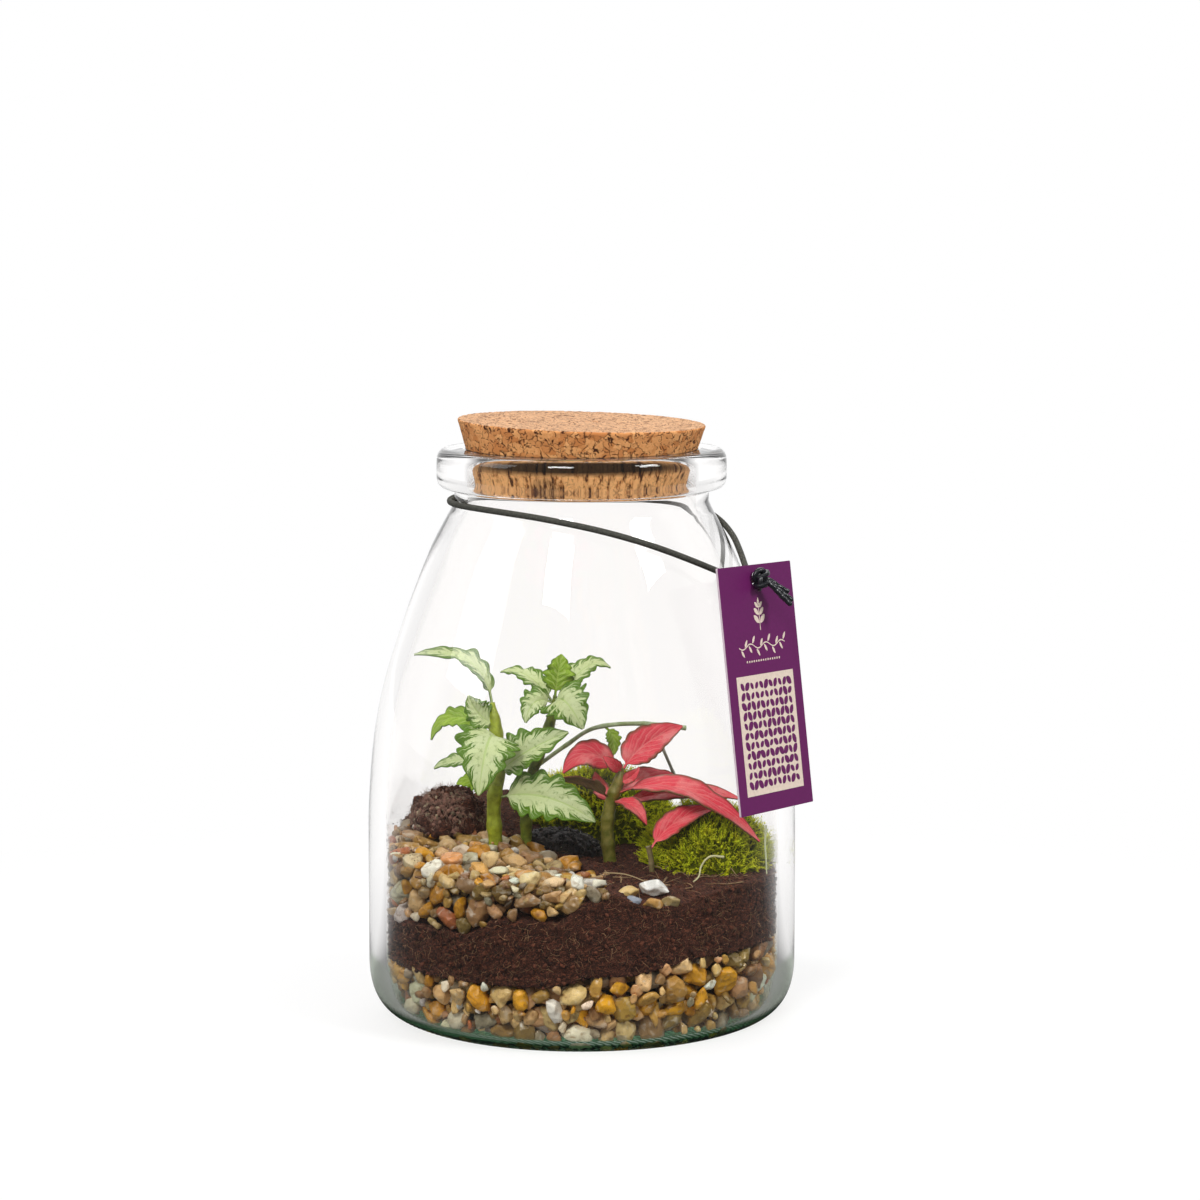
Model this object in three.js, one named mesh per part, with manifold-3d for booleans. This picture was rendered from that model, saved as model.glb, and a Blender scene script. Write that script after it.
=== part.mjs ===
// A closed glass plant terrarium: a wide jar with a cork stopper, a bed of gravel and soil,
// a white-veined and a red-veined nerve plant, moss, loose stones, and a card tag on a cord.
// Millimetres, +Z up. The origin is the centre of the jar's foot, and -Y is the front.

import * as THREE from "three";
import { mergeVertices } from "three/addons/utils/BufferGeometryUtils.js";
import Module from "manifold-3d";

// ---------- driving dimensions ----------

const seatGap = 0.3; // clearance that touching pieces keep
const layerGap = 0.6; // between the rough layers of the bed

const jar = {
  sides: 42,
  footInner: 58, // the underside is hollowed inside this radius
  footOuter: 65.5,
  footRise: 1.5,
  footSlope: 6, // how far the edge of the hollow slopes
  bodyRadius: 80.3,
  heelHeight: 22,
  heelCorner: [80.5, 2], // the heel bulges towards this point
  neckRadius: 47.5,
  neckHeight: 196.5,
  collar: [49.5, 198.6], // where the neck turns out into the bead
  collarTop: 199,
  beadRadius: 54,
  beadLow: 203,
  beadHigh: 208.5,
  rimTop: 213.5,
  rimCrest: 49.5,
  mouthRadius: 42.9,
  mouthRound: 1.6,
  mouthEdge: 211.5,
  boreRadius: 42.6,
  boreLow: 198,
  innerRadius: 74,
  innerHeel: 24,
  floorHeight: 5,
  floorRadius: 65,
};
// The shoulder's outside and inside, as [radius, height] from the body up to the neck.
const shoulderOut = [[80.3, 62], [80, 81], [78, 105], [74.3, 125], [68.2, 145],
  [60.9, 165], [55.5, 178], [50, 188.5], [47.5, 193]];
const shoulderIn = [[43.3, 192], [45.4, 186.5], [49, 178], [54.2, 165], [61.6, 145],
  [68, 125], [71.9, 105], [73.8, 81], [74, 62]];

const cork = {
  bottomRadius: 38.6, topRadius: 46.1, bottom: 198.6, top: 223.3, edge: 0.6,
  tilt: 1.7, shift: -0.38, // it sits in the mouth a little askew
};

const bed = { radius: 73.2, rings: 8, sides: 36 };
const heapRadius = 72.8; // heaps on the bed stop at the jar's wall
const ground = { level: 57.5, dip: 3.4, bank: 2.6, leftRise: 9, backRise: 0.1, wallRise: 1.5 };
const gravelTop = { left: 24.5, middleStep: 4, rightStep: 4.5, least: 2 };
const stoneHollow = 0.1; // slack round a stone that is pressed into the soil
// The gravel pocket, seen from above: it runs out to the jar's wall on the left and the front,
// and its other sides are straight from corner to corner.
const pocket = {
  middle: [-40, -24], roof: 90,
  corners: [[8, -80], [8, -28], [-10, -4], [-40, 14], [-80, 14]],
  floor: 43, middleStep: 7, rightStep: 7.5,
  cover: 2.5, // it reaches at least this far down
  spread: 1.5, // how much further down its bed in the soil lies, per unit of clearance
};

const cord = { diameter: 2.3, sides: 8, steps: 78 };
const cordRoute = [ // from the knot, round the neck by the front and the back, to the knot again
  [62.8, -32.4, 167.9], [60.7, -31.2, 167.6], [57.4, -31.4, 167.9], [53.8, -33.4, 169.4],
  [49, -37.2, 171.9], [40, -42.6, 176.2], [30, -47.8, 180.6], [20, -50.9, 184.3],
  [8, -52.4, 187.8], [-3.5, -50.4, 190.2], [-15.5, -47.2, 192.2], [-27, -41.2, 193.4],
  [-37, -32.6, 194], [-44.5, -20.8, 194], [-48.6, -7, 193.8], [-48.5, 8, 193.7],
  [-43.7, 22.3, 193.6], [-34.6, 34.9, 193.5], [-22.2, 43.9, 193.4], [-7.2, 48.7, 193.1],
  [8.2, 48.8, 192.6], [22.9, 44.3, 191.8], [35.8, 35.9, 190.4], [45.6, 25, 188],
  [52.2, 14.9, 184.6], [56.4, 4.6, 180.3], [58.6, -6, 176], [60.2, -15.5, 171.6],
  [61.2, -24.4, 168.6], [62.3, -28.4, 167.6], [64.25, -30.15, 167.8],
];

const tag = {
  width: 54, height: 90, thickness: 0.8,
  top: [62.7, -30.4, 173.3], // middle of the top edge
  turn: [-8.2, 2.7, 58], // degrees about X, Y and Z
  holeDrop: 5.6, holeRadius: 3,
};
const knot = { radius: 4, depth: 2.7, across: 1.2, lift: 3.1, arch: 1 };
const knotTails = [ // end points of the two tails, from the middle of the knot
  [12.6, -1.4, -10.6],
  [11.4, 2.6, -7.2],
];

// A leaf blade is stiff enough to hold its own weight, and starts with a narrow stalk.
const blade = { thickness: 1, steps: 6, stalkShare: 0.14, leastHalf: 0.6 };

// Stems: the route of each, its radius, and the pieces that it grows out of.
const stems = [
  { name: "white_plant_stem_1", color: 0x8fb045, radius: 2.3, sides: 8,
    route: [[-32, -6, 60], [-33, -6, 76], [-32.5, -6, 84], [-31, -5, 93], [-32, -4, 106],
      [-33.5, -3, 118]] },
  { name: "white_plant_stem_2", color: 0x6f8f3a, radius: 1.9, sides: 8,
    route: [[-21, 4, 58], [-21, 4, 76], [-19, 3, 89], [-15, 2, 100], [-11, 1, 113],
      [-10, 1, 120]] },
  { name: "red_plant_stem", color: 0x7d8a4a, radius: 2.5, sides: 8,
    route: [[11, -2, 54], [9.5, -2, 69], [11, -2, 80], [14, -2, 88], [15, -2, 93]] },
  { name: "red_plant_side_stem", color: 0x77703f, radius: 1, sides: 6,
    route: [[26, -22, 54], [25.5, -22, 62], [24.5, -22, 67]] },
  { name: "dried_stalk", color: 0x8d8b7c, radius: 0.6, sides: 6,
    route: [[40, 20, 68], [38, 20, 80], [34, 20, 90], [31, 20, 97]] },
];
const branch = { name: "white_plant_branch", color: 0x8d9c78, radius: 1, sides: 6,
  route: [[-18, 3, 92], [-6, 8, 100], [5, 12, 106], [22, 16, 107], [40, 18, 105]] };

// Leaves: base, middle and tip of the midrib, widest half-width, which way the upper face
// looks, and how far the two halves fold up (degrees).
const whiteLeaves = [
  { name: "white_leaf_top_left", from: [-33.5, -3, 116.5], via: [-35, -4, 140], to: [-62, -8, 137],
    half: 5.5, face: [0.2, -0.5, 1], fold: 20, on: "white_plant_stem_1" },
  { name: "white_leaf_upper", from: [-32.4, -4, 110], via: [-39, -8, 114], to: [-42, -8, 122],
    half: 5, face: [-0.3, -1, 0.2], fold: 12, on: "white_plant_stem_1" },
  { name: "white_leaf_front", from: [-32, -4, 105.5], via: [-35, -18, 112], to: [-38, -21, 86],
    half: 11.2, face: [0, -1, 0.45], fold: 10, on: "white_plant_stem_1" },
  { name: "white_leaf_left_small", from: [-32, -4, 107], via: [-52, 2, 119], to: [-57, 3, 103],
    half: 4, face: [-0.6, -0.7, 0.6], fold: 15, on: "white_plant_stem_1" },
  { name: "white_leaf_left_dark", from: [-31, -5, 93], via: [-44, 2, 99], to: [-56, 3, 92],
    half: 5, face: [-0.2, -0.6, 1], fold: 18, on: "white_plant_stem_1" },
  { name: "white_leaf_left_low", from: [-32.5, -6, 84], via: [-40, -3, 91], to: [-47, -3, 87],
    half: 4, face: [-0.2, -0.8, 0.6], fold: 14, on: "white_plant_stem_1" },
  { name: "white_leaf_middle", from: [-31.2, -5.3, 91], via: [-24, -12, 101], to: [-5, -10, 108],
    half: 8.6, face: [-0.45, -0.8, 0.5], fold: 28, on: "white_plant_stem_1" },
  { name: "white_leaf_low_front", from: [-32.6, -6, 82], via: [-14, -18, 90], to: [5, -21, 76],
    half: 9.2, face: [0, -1, 0.5], fold: 12, on: "white_plant_stem_1" },
  { name: "white_leaf_hanging", from: [-10.6, 1, 117], via: [-19, -6, 123], to: [-21, -7, 111],
    half: 5.4, face: [-0.3, -1, 0.3], fold: 14, on: "white_plant_stem_2" },
  { name: "white_leaf_back", from: [-10.4, 1, 116.5], via: [-19, 11, 130], to: [-31, 16, 127],
    half: 5, face: [0, -0.35, 1], fold: 16, on: "white_plant_stem_2" },
  { name: "white_leaf_upright", from: [-10, 0.6, 119.5], via: [-9, -1, 130], to: [-7, 1, 137],
    half: 5.4, face: [0.3, -1, -0.2], fold: 18, on: "white_plant_stem_2" },
  { name: "white_leaf_back_right", from: [-10.3, 1, 115], via: [1, 11, 136], to: [11, 12, 129],
    half: 4.6, face: [0.2, -0.45, 1], fold: 20, on: "white_plant_stem_2" },
  { name: "white_leaf_right", from: [-10.2, 1, 118], via: [-6, -10, 124], to: [1, -12, 110],
    half: 7.6, face: [0.1, -1, 0.35], fold: 12, on: "white_plant_stem_2" },
  { name: "white_leaf_branch", from: [9, 12.9, 106.1], via: [14, 10, 103], to: [11, 9, 95],
    half: 2.8, face: [0.2, -1, 0.2], fold: 16, on: "white_plant_branch" },
];
const redLeaves = [
  { name: "red_leaf_upper_left", from: [14.6, -2, 90], via: [2, -6, 107], to: [-7, -8, 92],
    half: 5.6, face: [-0.3, -1, 0.5], fold: 14, on: "red_plant_stem" },
  { name: "red_leaf_upper_right", from: [15, -2, 91.5], via: [21, 2, 103], to: [38, 4, 108],
    half: 7, face: [-0.3, -1, 0.35], fold: 14, on: "red_plant_stem" },
  { name: "red_leaf_left_folded", from: [11.2, -2, 81], via: [1, -9, 90], to: [-11, -7, 89],
    half: 5, face: [0, 0.45, 1], fold: 24, on: "red_plant_stem" },
  { name: "red_leaf_lower", from: [11, -2, 80], via: [19, -13, 84], to: [24, -16, 74],
    half: 4, face: [0.3, -0.7, 0.9], fold: 18, on: "red_plant_stem" },
  { name: "red_leaf_large", from: [12, -2, 82.5], via: [38, -14, 98], to: [64, -27, 70],
    half: 7, face: [0.35, -0.55, 1], fold: 14, on: "red_plant_stem" },
  { name: "red_leaf_under", from: [24.8, -22, 65], via: [33, -17, 79], to: [50, -10, 79],
    half: 5, face: [-0.1, -0.7, 0.7], fold: 20, on: "red_plant_side_stem" },
  { name: "red_leaf_back", from: [11.4, -2, 82], via: [24, 9, 91], to: [39, 11, 85],
    half: 6, face: [-0.1, -0.6, 1], fold: 16, on: "red_plant_stem" },
  { name: "red_leaf_far_right", from: [10.8, -2, 78], via: [39, -3, 89], to: [60, -2, 81],
    half: 4.5, face: [0, -0.7, 1], fold: 14, on: "red_plant_stem" },
  { name: "red_leaf_pale", from: [11, -2, 79.5], via: [6, 4, 84], to: [5, 6, 90],
    half: 3.2, face: [0, -1, 0.1], fold: 12, on: "red_plant_stem" },
  { name: "red_leaf_young_left", from: [15, -2, 91.5], via: [12.5, -9, 95], to: [8, -8, 98.5],
    half: 2.6, face: [-0.3, -1, 0.4], fold: 20, on: "red_plant_stem" },
  { name: "red_leaf_young_right", from: [14.2, -2, 87.6], via: [18.5, -8, 90], to: [21.5, -7, 94],
    half: 2.4, face: [0.4, -1, 0.5], fold: 20, on: "red_plant_stem" },
];

// Heaps on the bed, as part of an ellipsoid: middle and half sizes.
const heaps = {
  soil_mound: { color: 0x4a2c28, at: [-52, 19, 66], half: [15.5, 18, 14.5] },
  root_plug: { color: 0x1e1a18, at: [-11, 11, 56.5], half: [19, 12, 10.5] },
  moss_back: { color: 0x86a02c, at: [5, 45, 54], half: [37, 21, 32] },
  moss_right: { color: 0x6f9420, at: [48, 2, 54], half: [27, 32, 26] },
};

const looseStones = [
  { name: "stone_white", color: 0xe9e4dd, at: [26.5, -57.5, 59], half: [6.4, 3.8, 3.3], turn: -8 },
  { name: "stone_yellow", color: 0xc39a4e, at: [15.8, -60.5, 57.8], half: [4.6, 3.4, 2.9], turn: 6 },
  { name: "stone_grey", color: 0x7e8390, at: [18.2, -66, 54.6], half: [2.4, 2, 1.8], turn: 20 },
  { name: "stone_orange", color: 0xb0743c, at: [25, -66, 53.8], half: [3.2, 2.5, 2.4], turn: 22 },
  { name: "stone_olive", color: 0x8a7350, at: [31.5, -63.4, 53.8], half: [3.2, 2.5, 2.2], turn: 27 },
];

// ---------- solids ----------

const wasm = await Module();
wasm.setup();

// A closed geometry as a solid whose shared corners are merged.
function solidOf(geometry) {
  const bare = geometry.clone();
  bare.deleteAttribute("normal");
  bare.deleteAttribute("uv");
  const merged = mergeVertices(bare, 1e-3);
  return new wasm.Manifold(new wasm.Mesh({
    numProp: 3,
    vertProperties: new Float32Array(merged.attributes.position.array),
    triVerts: new Uint32Array(merged.index.array),
  }));
}

function geometryOf(solid) {
  const mesh = solid.simplify(0.01).getMesh();
  const geometry = new THREE.BufferGeometry();
  geometry.setAttribute("position", new THREE.BufferAttribute(mesh.vertProperties, 3));
  geometry.setIndex(new THREE.BufferAttribute(mesh.triVerts, 1));
  geometry.computeVertexNormals();
  return geometry;
}

const vector = ([x, y, z]) => new THREE.Vector3(x, y, z);
const radians = THREE.MathUtils.degToRad;

// Rises smoothly from 0 to 1 as x goes from start to end, whichever of them is greater.
function easeStep(start, end, x) {
  return THREE.MathUtils.smoothstep((x - start) / (end - start), 0, 1);
}

// The biggest of a cut solid's pieces.
function largest(solid) {
  return solid.decompose().reduce((a, b) => (a.volume() > b.volume() ? a : b));
}

// A turned piece: its profile is a list of [radius, height].
function turned(profile, sides) {
  const points = profile.map(([r, z]) => new THREE.Vector2(r, z));
  return new THREE.LatheGeometry(points, sides).rotateX(Math.PI / 2);
}

function through(points, count) {
  const curve = new THREE.SplineCurve(points.map(([r, z]) => new THREE.Vector2(r, z)));
  return curve.getSpacedPoints(count).map((p) => [p.x, p.y]);
}

// A quarter-round stretch from one point to another, bulging towards the corner between them.
function rounded(from, corner, to, count) {
  const curve = new THREE.QuadraticBezierCurve(
    new THREE.Vector2(...from), new THREE.Vector2(...corner), new THREE.Vector2(...to));
  return curve.getPoints(count).map((p) => [p.x, p.y]);
}

function tube(route, radius, sides, steps) {
  const section = new THREE.Shape();
  for (let i = 0; i < sides; i++) {
    const angle = (2 * Math.PI * i) / sides;
    const point = [radius * Math.cos(angle), radius * Math.sin(angle)];
    if (i) section.lineTo(...point);
    else section.moveTo(...point);
  }
  section.closePath();
  const path = new THREE.CatmullRomCurve3(route.map(vector), false, "centripetal");
  return new THREE.ExtrudeGeometry(section, { steps, bevelEnabled: false, extrudePath: path });
}

// ---------- the bed in layers ----------

// Top of the planted bed: level on the right, with a dip at the front wall there, a low bank
// at the front in the middle, and rising to the left.
function groundTop(x, y) {
  const g = ground;
  const dip = g.dip * easeStep(-50, -66, y) * easeStep(12, 24, x);
  const bank = g.bank * easeStep(-20, -64, y) * easeStep(20, 6, x);
  const left = (g.leftRise + g.backRise * y) * easeStep(8, -38, x);
  return g.level - dip + bank + left + g.wallRise * easeStep(-40, -74, x);
}

// Top of the drainage gravel: low on the left, higher on the right.
function gravelLine(x) {
  const g = gravelTop;
  return g.left + g.middleStep * easeStep(-12, 4, x) + g.rightStep * easeStep(10, 45, x);
}

// The jar's inside where the floor turns up into the wall.
function jarFloor(x, y) {
  const outward = Math.max(0, Math.hypot(x, y) - jar.floorRadius);
  const reach = Math.min(1, outward / (jar.innerRadius - jar.floorRadius));
  return jar.floorHeight + (jar.innerHeel - jar.floorHeight) * (1 - Math.sqrt(1 - reach ** 2));
}

// Underside of the gravel pocket on the left front, which steps up to the right.
function pocketFloor(x, y) {
  const p = pocket;
  const bottom = p.floor + p.middleStep * easeStep(-42, -28, x) + p.rightStep * easeStep(-9, 3, x);
  return Math.min(bottom, groundTop(x, y) - p.cover);
}

// A round slab across the jar, with its underside and top as functions of the place.
function slab(bottom, top, middle = [0, 0], reach = () => bed.radius) {
  const profile = [];
  for (let i = 0; i <= bed.rings; i++) profile.push([i / bed.rings, 0]);
  for (let i = bed.rings; i >= 0; i--) profile.push([i / bed.rings, 1]);
  const geometry = turned(profile, bed.sides);
  const place = geometry.attributes.position;
  for (let i = 0; i < place.count; i++) {
    const far = Math.hypot(place.getX(i), place.getY(i));
    const angle = Math.atan2(place.getY(i), place.getX(i));
    const x = middle[0] + far * reach(angle) * Math.cos(angle);
    const y = middle[1] + far * reach(angle) * Math.sin(angle);
    place.setXYZ(i, x, y, place.getZ(i) < 0.5 ? bottom(x, y) : top(x, y));
  }
  return solidOf(geometry);
}

// How far the gravel pocket reaches from its middle in each direction.
function pocketReach(grow) {
  const [mx, my] = pocket.middle;
  return (angle) => {
    const dx = Math.cos(angle);
    const dy = Math.sin(angle);
    const along = mx * dx + my * dy;
    let reach = -along + Math.sqrt(along ** 2 - mx ** 2 - my ** 2 + (bed.radius + 2) ** 2);
    for (let i = 1; i < pocket.corners.length; i++) {
      const [ax, ay] = pocket.corners[i - 1];
      const [bx, by] = pocket.corners[i];
      const long = Math.hypot(bx - ax, by - ay);
      const outward = [(by - ay) / long, (ax - bx) / long];
      const slope = dx * outward[0] + dy * outward[1];
      const away = (ax - mx) * outward[0] + (ay - my) * outward[1] + grow;
      if (slope > 1e-6) reach = Math.min(reach, away / slope);
    }
    return reach;
  };
}
function pocketBlock(grow) {
  const bottom = (x, y) => pocketFloor(x, y) - pocket.spread * grow;
  return slab(bottom, () => pocket.roof, pocket.middle, pocketReach(grow));
}

const plantedBed = slab((x) => gravelLine(x) + layerGap, groundTop);
const groundBlock = slab(() => 0, (x, y) => groundTop(x, y) + seatGap);
const insideWall = solidOf(turned(
  [[0, 0], [heapRadius, 0], [heapRadius, jar.rimTop], [0, jar.rimTop]], 2 * bed.sides));

// ---------- pieces ----------

const terrarium = new THREE.Group();

function add(name, geometry, color, roughness = 0.8, metalness = 0) {
  const material = new THREE.MeshStandardMaterial({ color, roughness, metalness });
  const mesh = new THREE.Mesh(geometry, material);
  mesh.name = name;
  terrarium.add(mesh);
  return mesh;
}

function makeJar() {
  const j = jar;
  const profile = [
    [0, j.footRise], [j.footInner - j.footSlope, j.footRise], [j.footInner, 0],
    ...rounded([j.footOuter, 0], j.heelCorner, [j.bodyRadius, j.heelHeight], 6),
    ...through(shoulderOut, 10),
    [j.neckRadius, j.neckHeight],
    ...rounded(j.collar, [j.beadRadius, j.collarTop], [j.beadRadius, j.beadLow], 2),
    ...rounded([j.beadRadius, j.beadHigh], [j.beadRadius, j.rimTop], [j.rimCrest, j.rimTop], 3),
    ...rounded([j.mouthRadius + j.mouthRound, j.rimTop], [j.mouthRadius, j.rimTop],
      [j.mouthRadius, j.mouthEdge], 2),
    [j.boreRadius, j.boreLow],
    ...through(shoulderIn, 10),
    ...rounded([j.innerRadius, j.innerHeel], [j.innerRadius, j.floorHeight],
      [j.floorRadius, j.floorHeight], 6),
    [0, j.floorHeight],
  ];
  const mesh = add("jar", turned(profile, j.sides), 0xdfeee6, 0.05);
  mesh.material.transparent = true;
  mesh.material.opacity = 0.25;
}

function makeCork() {
  const c = cork;
  const middle = (c.bottom + c.top) / 2;
  const profile = [
    [0, c.bottom], [c.bottomRadius - c.edge, c.bottom], [c.bottomRadius, c.bottom + c.edge],
    [c.topRadius, c.top - c.edge], [c.topRadius - c.edge, c.top], [0, c.top],
  ].map(([r, z]) => [r, z - middle]);
  const mesh = add("cork_stopper", turned(profile, jar.sides), 0xc68d5c);
  mesh.position.set(c.shift, 0, middle);
  mesh.rotation.y = radians(c.tilt);
}

// The tag's own frame: its face is in XZ and looks to -Y, with the middle of its top edge at 0.
function tagFrame() {
  const frame = new THREE.Group();
  frame.position.set(...tag.top);
  frame.rotation.set(...tag.turn.map(radians), "ZYX");
  frame.updateMatrix();
  return frame;
}

function makeTag() {
  const outline = new THREE.Shape();
  outline.moveTo(-tag.width / 2, 0);
  outline.lineTo(-tag.width / 2, -tag.height);
  outline.lineTo(tag.width / 2, -tag.height);
  outline.lineTo(tag.width / 2, 0);
  outline.closePath();
  const hole = new THREE.Path();
  hole.absarc(0, -tag.holeDrop, tag.holeRadius, 0, 2 * Math.PI, true);
  outline.holes.push(hole);
  const geometry = new THREE.ExtrudeGeometry(outline,
    { depth: tag.thickness, bevelEnabled: false, curveSegments: 8 });
  geometry.translate(0, 0, -tag.thickness / 2).rotateX(Math.PI / 2);
  geometry.applyMatrix4(tagFrame().matrix);
  add("hang_tag", geometry, 0x6a2a6c, 0.5);
}

// The knot is a flattened ball in front of the hole, with the two tails joined to it.
function makeKnot() {
  const forward = knot.lift + tag.thickness / 2 + seatGap;
  const middle = new THREE.Vector3(knot.across, -forward, -tag.holeDrop);
  const ball = new THREE.SphereGeometry(1, 12, 8);
  ball.scale(knot.radius, knot.depth, knot.radius);
  ball.translate(...middle.toArray()).applyMatrix4(tagFrame().matrix);
  middle.applyMatrix4(tagFrame().matrix);
  let solid = solidOf(ball);
  for (const tail of knotTails) {
    const end = vector(tail).add(middle);
    const bend = vector(tail).multiplyScalar(0.55).add(middle).add(new THREE.Vector3(0, 0, knot.arch));
    const route = [middle, bend, end].map((p) => p.toArray());
    solid = solid.add(solidOf(tube(route, cord.diameter / 2, cord.sides, 5)));
  }
  add("cord_knot", geometryOf(solid), 0x23262b);
}

// A leaf is a thin plate bent along its midrib, folded up along the middle.
function leafBlade(leaf) {
  const plate = new THREE.BoxGeometry(1, 1, 1, blade.steps, 2, 1);
  const rib = new THREE.QuadraticBezierCurve3(vector(leaf.from), vector(leaf.via), vector(leaf.to));
  const face = vector(leaf.face).normalize();
  const place = plate.attributes.position;
  for (let i = 0; i < place.count; i++) {
    const t = place.getX(i) + 0.5;
    const across = place.getY(i) * 2;
    const along = rib.getTangent(t);
    const side = new THREE.Vector3().crossVectors(face, along).normalize();
    const up = new THREE.Vector3().crossVectors(along, side);
    const half = Math.max(blade.leastHalf, leaf.half * bladeWidth(t));
    const fold = radians(leaf.fold);
    const lift = Math.abs(across) * half * Math.sin(fold) + place.getZ(i) * blade.thickness;
    const point = rib.getPoint(t)
      .addScaledVector(side, across * half * Math.cos(fold))
      .addScaledVector(up, lift);
    place.setXYZ(i, point.x, point.y, point.z);
  }
  return solidOf(plate);
}

// Share of a leaf's widest half-width along its midrib: widest before the middle of the blade.
function bladeWidth(t) {
  const along = Math.max(0, (t - blade.stalkShare) / (1 - blade.stalkShare));
  return Math.max(0, Math.sin(Math.PI * along ** 0.68)) ** 0.75;
}

// A loose stone, or with grow the hollow that it has pressed into the soil.
function pebble(stone, grow) {
  const ball = new THREE.IcosahedronGeometry(1, 1);
  ball.scale(...stone.half.map((half) => half + grow));
  ball.rotateZ(radians(stone.turn));
  ball.translate(...stone.at);
  return solidOf(ball);
}

function makeBed() {
  const bottom = (x, y) => jarFloor(x, y) + layerGap;
  const top = (x, y) => Math.max(gravelLine(x), jarFloor(x, y) + gravelTop.least);
  add("drainage_gravel", geometryOf(slab(bottom, top)), 0xb39a72);
  let soil = plantedBed.subtract(pocketBlock(layerGap));
  for (const stone of looseStones) soil = soil.subtract(pebble(stone, seatGap + stoneHollow));
  add("soil_bed", geometryOf(soil), 0x3a211b);
  add("upper_gravel", geometryOf(plantedBed.intersect(pocketBlock(0))), 0xbfa57c);
}

const heapSolids = new Map();
function makeHeaps() {
  for (const [name, heap] of Object.entries(heaps)) {
    const ball = new THREE.SphereGeometry(1, 20, 10).rotateX(Math.PI / 2);
    ball.scale(...heap.half);
    ball.translate(...heap.at);
    const solid = largest(solidOf(ball).subtract(groundBlock).intersect(insideWall));
    heapSolids.set(name, solid.translate([0, 0, seatGap]).add(solid));
    add(name, geometryOf(solid), heap.color, 0.95);
  }
}

function makeStones() {
  for (const stone of looseStones) {
    add(stone.name, geometryOf(pebble(stone, 0)), stone.color, 0.6);
  }
}

// Stems grow out of the bed or a heap; the branch and the leaves are cut back from their stems.
function makePlants() {
  const grown = new Map();
  const underStems = groundBlock.add(heapSolids.get("root_plug")).add(heapSolids.get("moss_right"));
  for (const stem of stems) {
    const steps = 2 * stem.route.length;
    const solid = solidOf(tube(stem.route, stem.radius, stem.sides, steps)).subtract(underStems);
    grown.set(stem.name, solidOf(tube(stem.route, stem.radius + seatGap, stem.sides, steps)));
    add(stem.name, geometryOf(solid), stem.color, 0.6);
  }
  const branchSteps = 2 * branch.route.length;
  const branchSolid = solidOf(tube(branch.route, branch.radius, branch.sides, branchSteps))
    .subtract(grown.get("white_plant_stem_2"));
  grown.set(branch.name,
    solidOf(tube(branch.route, branch.radius + seatGap, branch.sides, branchSteps)));
  add(branch.name, geometryOf(branchSolid), branch.color, 0.7);
  for (const leaf of whiteLeaves) {
    add(leaf.name, geometryOf(leafBlade(leaf).subtract(grown.get(leaf.on))), 0xa9c79a, 0.6);
  }
  for (const leaf of redLeaves) {
    add(leaf.name, geometryOf(leafBlade(leaf).subtract(grown.get(leaf.on))), 0xc8414f, 0.6);
  }
}

makeJar();
makeCork();
add("neck_cord", tube(cordRoute, cord.diameter / 2, cord.sides, cord.steps), 0x2b2d2b);
makeTag();
makeKnot();
makeBed();
makeHeaps();
makeStones();
makePlants();

export default terrarium;
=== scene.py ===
# A closed glass plant terrarium: jar, cork, bed, two nerve plants, moss, tag and cord.
# Lengths are in millimetres until mm takes them to metres; the camera, studio and cord are in metres.
import math
import random

import bmesh
import bpy
from mathutils import Euler, Matrix, Quaternion, Vector, noise


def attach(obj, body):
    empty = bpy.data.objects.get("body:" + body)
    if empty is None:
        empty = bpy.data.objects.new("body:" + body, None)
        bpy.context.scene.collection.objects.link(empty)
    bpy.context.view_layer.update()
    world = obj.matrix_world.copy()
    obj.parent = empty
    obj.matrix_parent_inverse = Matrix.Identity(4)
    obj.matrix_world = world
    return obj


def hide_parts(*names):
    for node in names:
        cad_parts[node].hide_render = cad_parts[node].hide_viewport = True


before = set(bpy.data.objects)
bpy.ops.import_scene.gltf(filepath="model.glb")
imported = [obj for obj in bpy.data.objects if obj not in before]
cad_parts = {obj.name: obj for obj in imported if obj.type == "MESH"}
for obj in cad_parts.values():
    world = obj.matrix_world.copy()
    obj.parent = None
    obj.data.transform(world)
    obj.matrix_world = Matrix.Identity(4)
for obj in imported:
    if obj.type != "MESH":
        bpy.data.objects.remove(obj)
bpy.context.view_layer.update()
mm = 0.001


# Adds a shader node; an input given as another node's output is linked, any other is set.
def addNode(tree, kind, inputs=None, **settings):
    made = tree.nodes.new("ShaderNode" + kind)
    for key, value in settings.items():
        setattr(made, key, value)
    for key, value in (inputs or {}).items():
        if isinstance(value, bpy.types.NodeSocket):
            tree.links.new(value, made.inputs[key])
        else:
            made.inputs[key].default_value = value
    return made


def newMaterial(name, **values):
    material = bpy.data.materials.new(name)
    material.use_nodes = True
    shader = material.node_tree.nodes["Principled BSDF"]
    for socket, value in values.items():
        shader.inputs[socket.replace("_", " ")].default_value = value
    return material, material.node_tree, shader


# Links outputs to a shader's sockets; an underscore stands for the space in a socket's name.
def feed(tree, shader, **sockets):
    for socket, value in sockets.items():
        tree.links.new(value, shader.inputs[socket.replace("_", " ")])


def mixColor(tree, factor, low, high, blend="MIX"):
    return addNode(tree, "Mix", {"Factor": factor, 6: low, 7: high}, data_type="RGBA",
                   blend_type=blend).outputs[2]


def mixLevel(tree, factor, low, high):
    return addNode(tree, "Mix", {"Factor": factor, 2: low, 3: high}).outputs[0]


def compute(tree, operation, a, b=0.0, c=0.0):
    return addNode(tree, "Math", {0: a, 1: b, 2: c}, operation=operation).outputs[0]


def ranged(tree, value, low, high, bottom=0.0, top=1.0):
    return addNode(tree, "MapRange", {0: value, 1: low, 2: high, 3: bottom, 4: top}).outputs[0]


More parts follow.
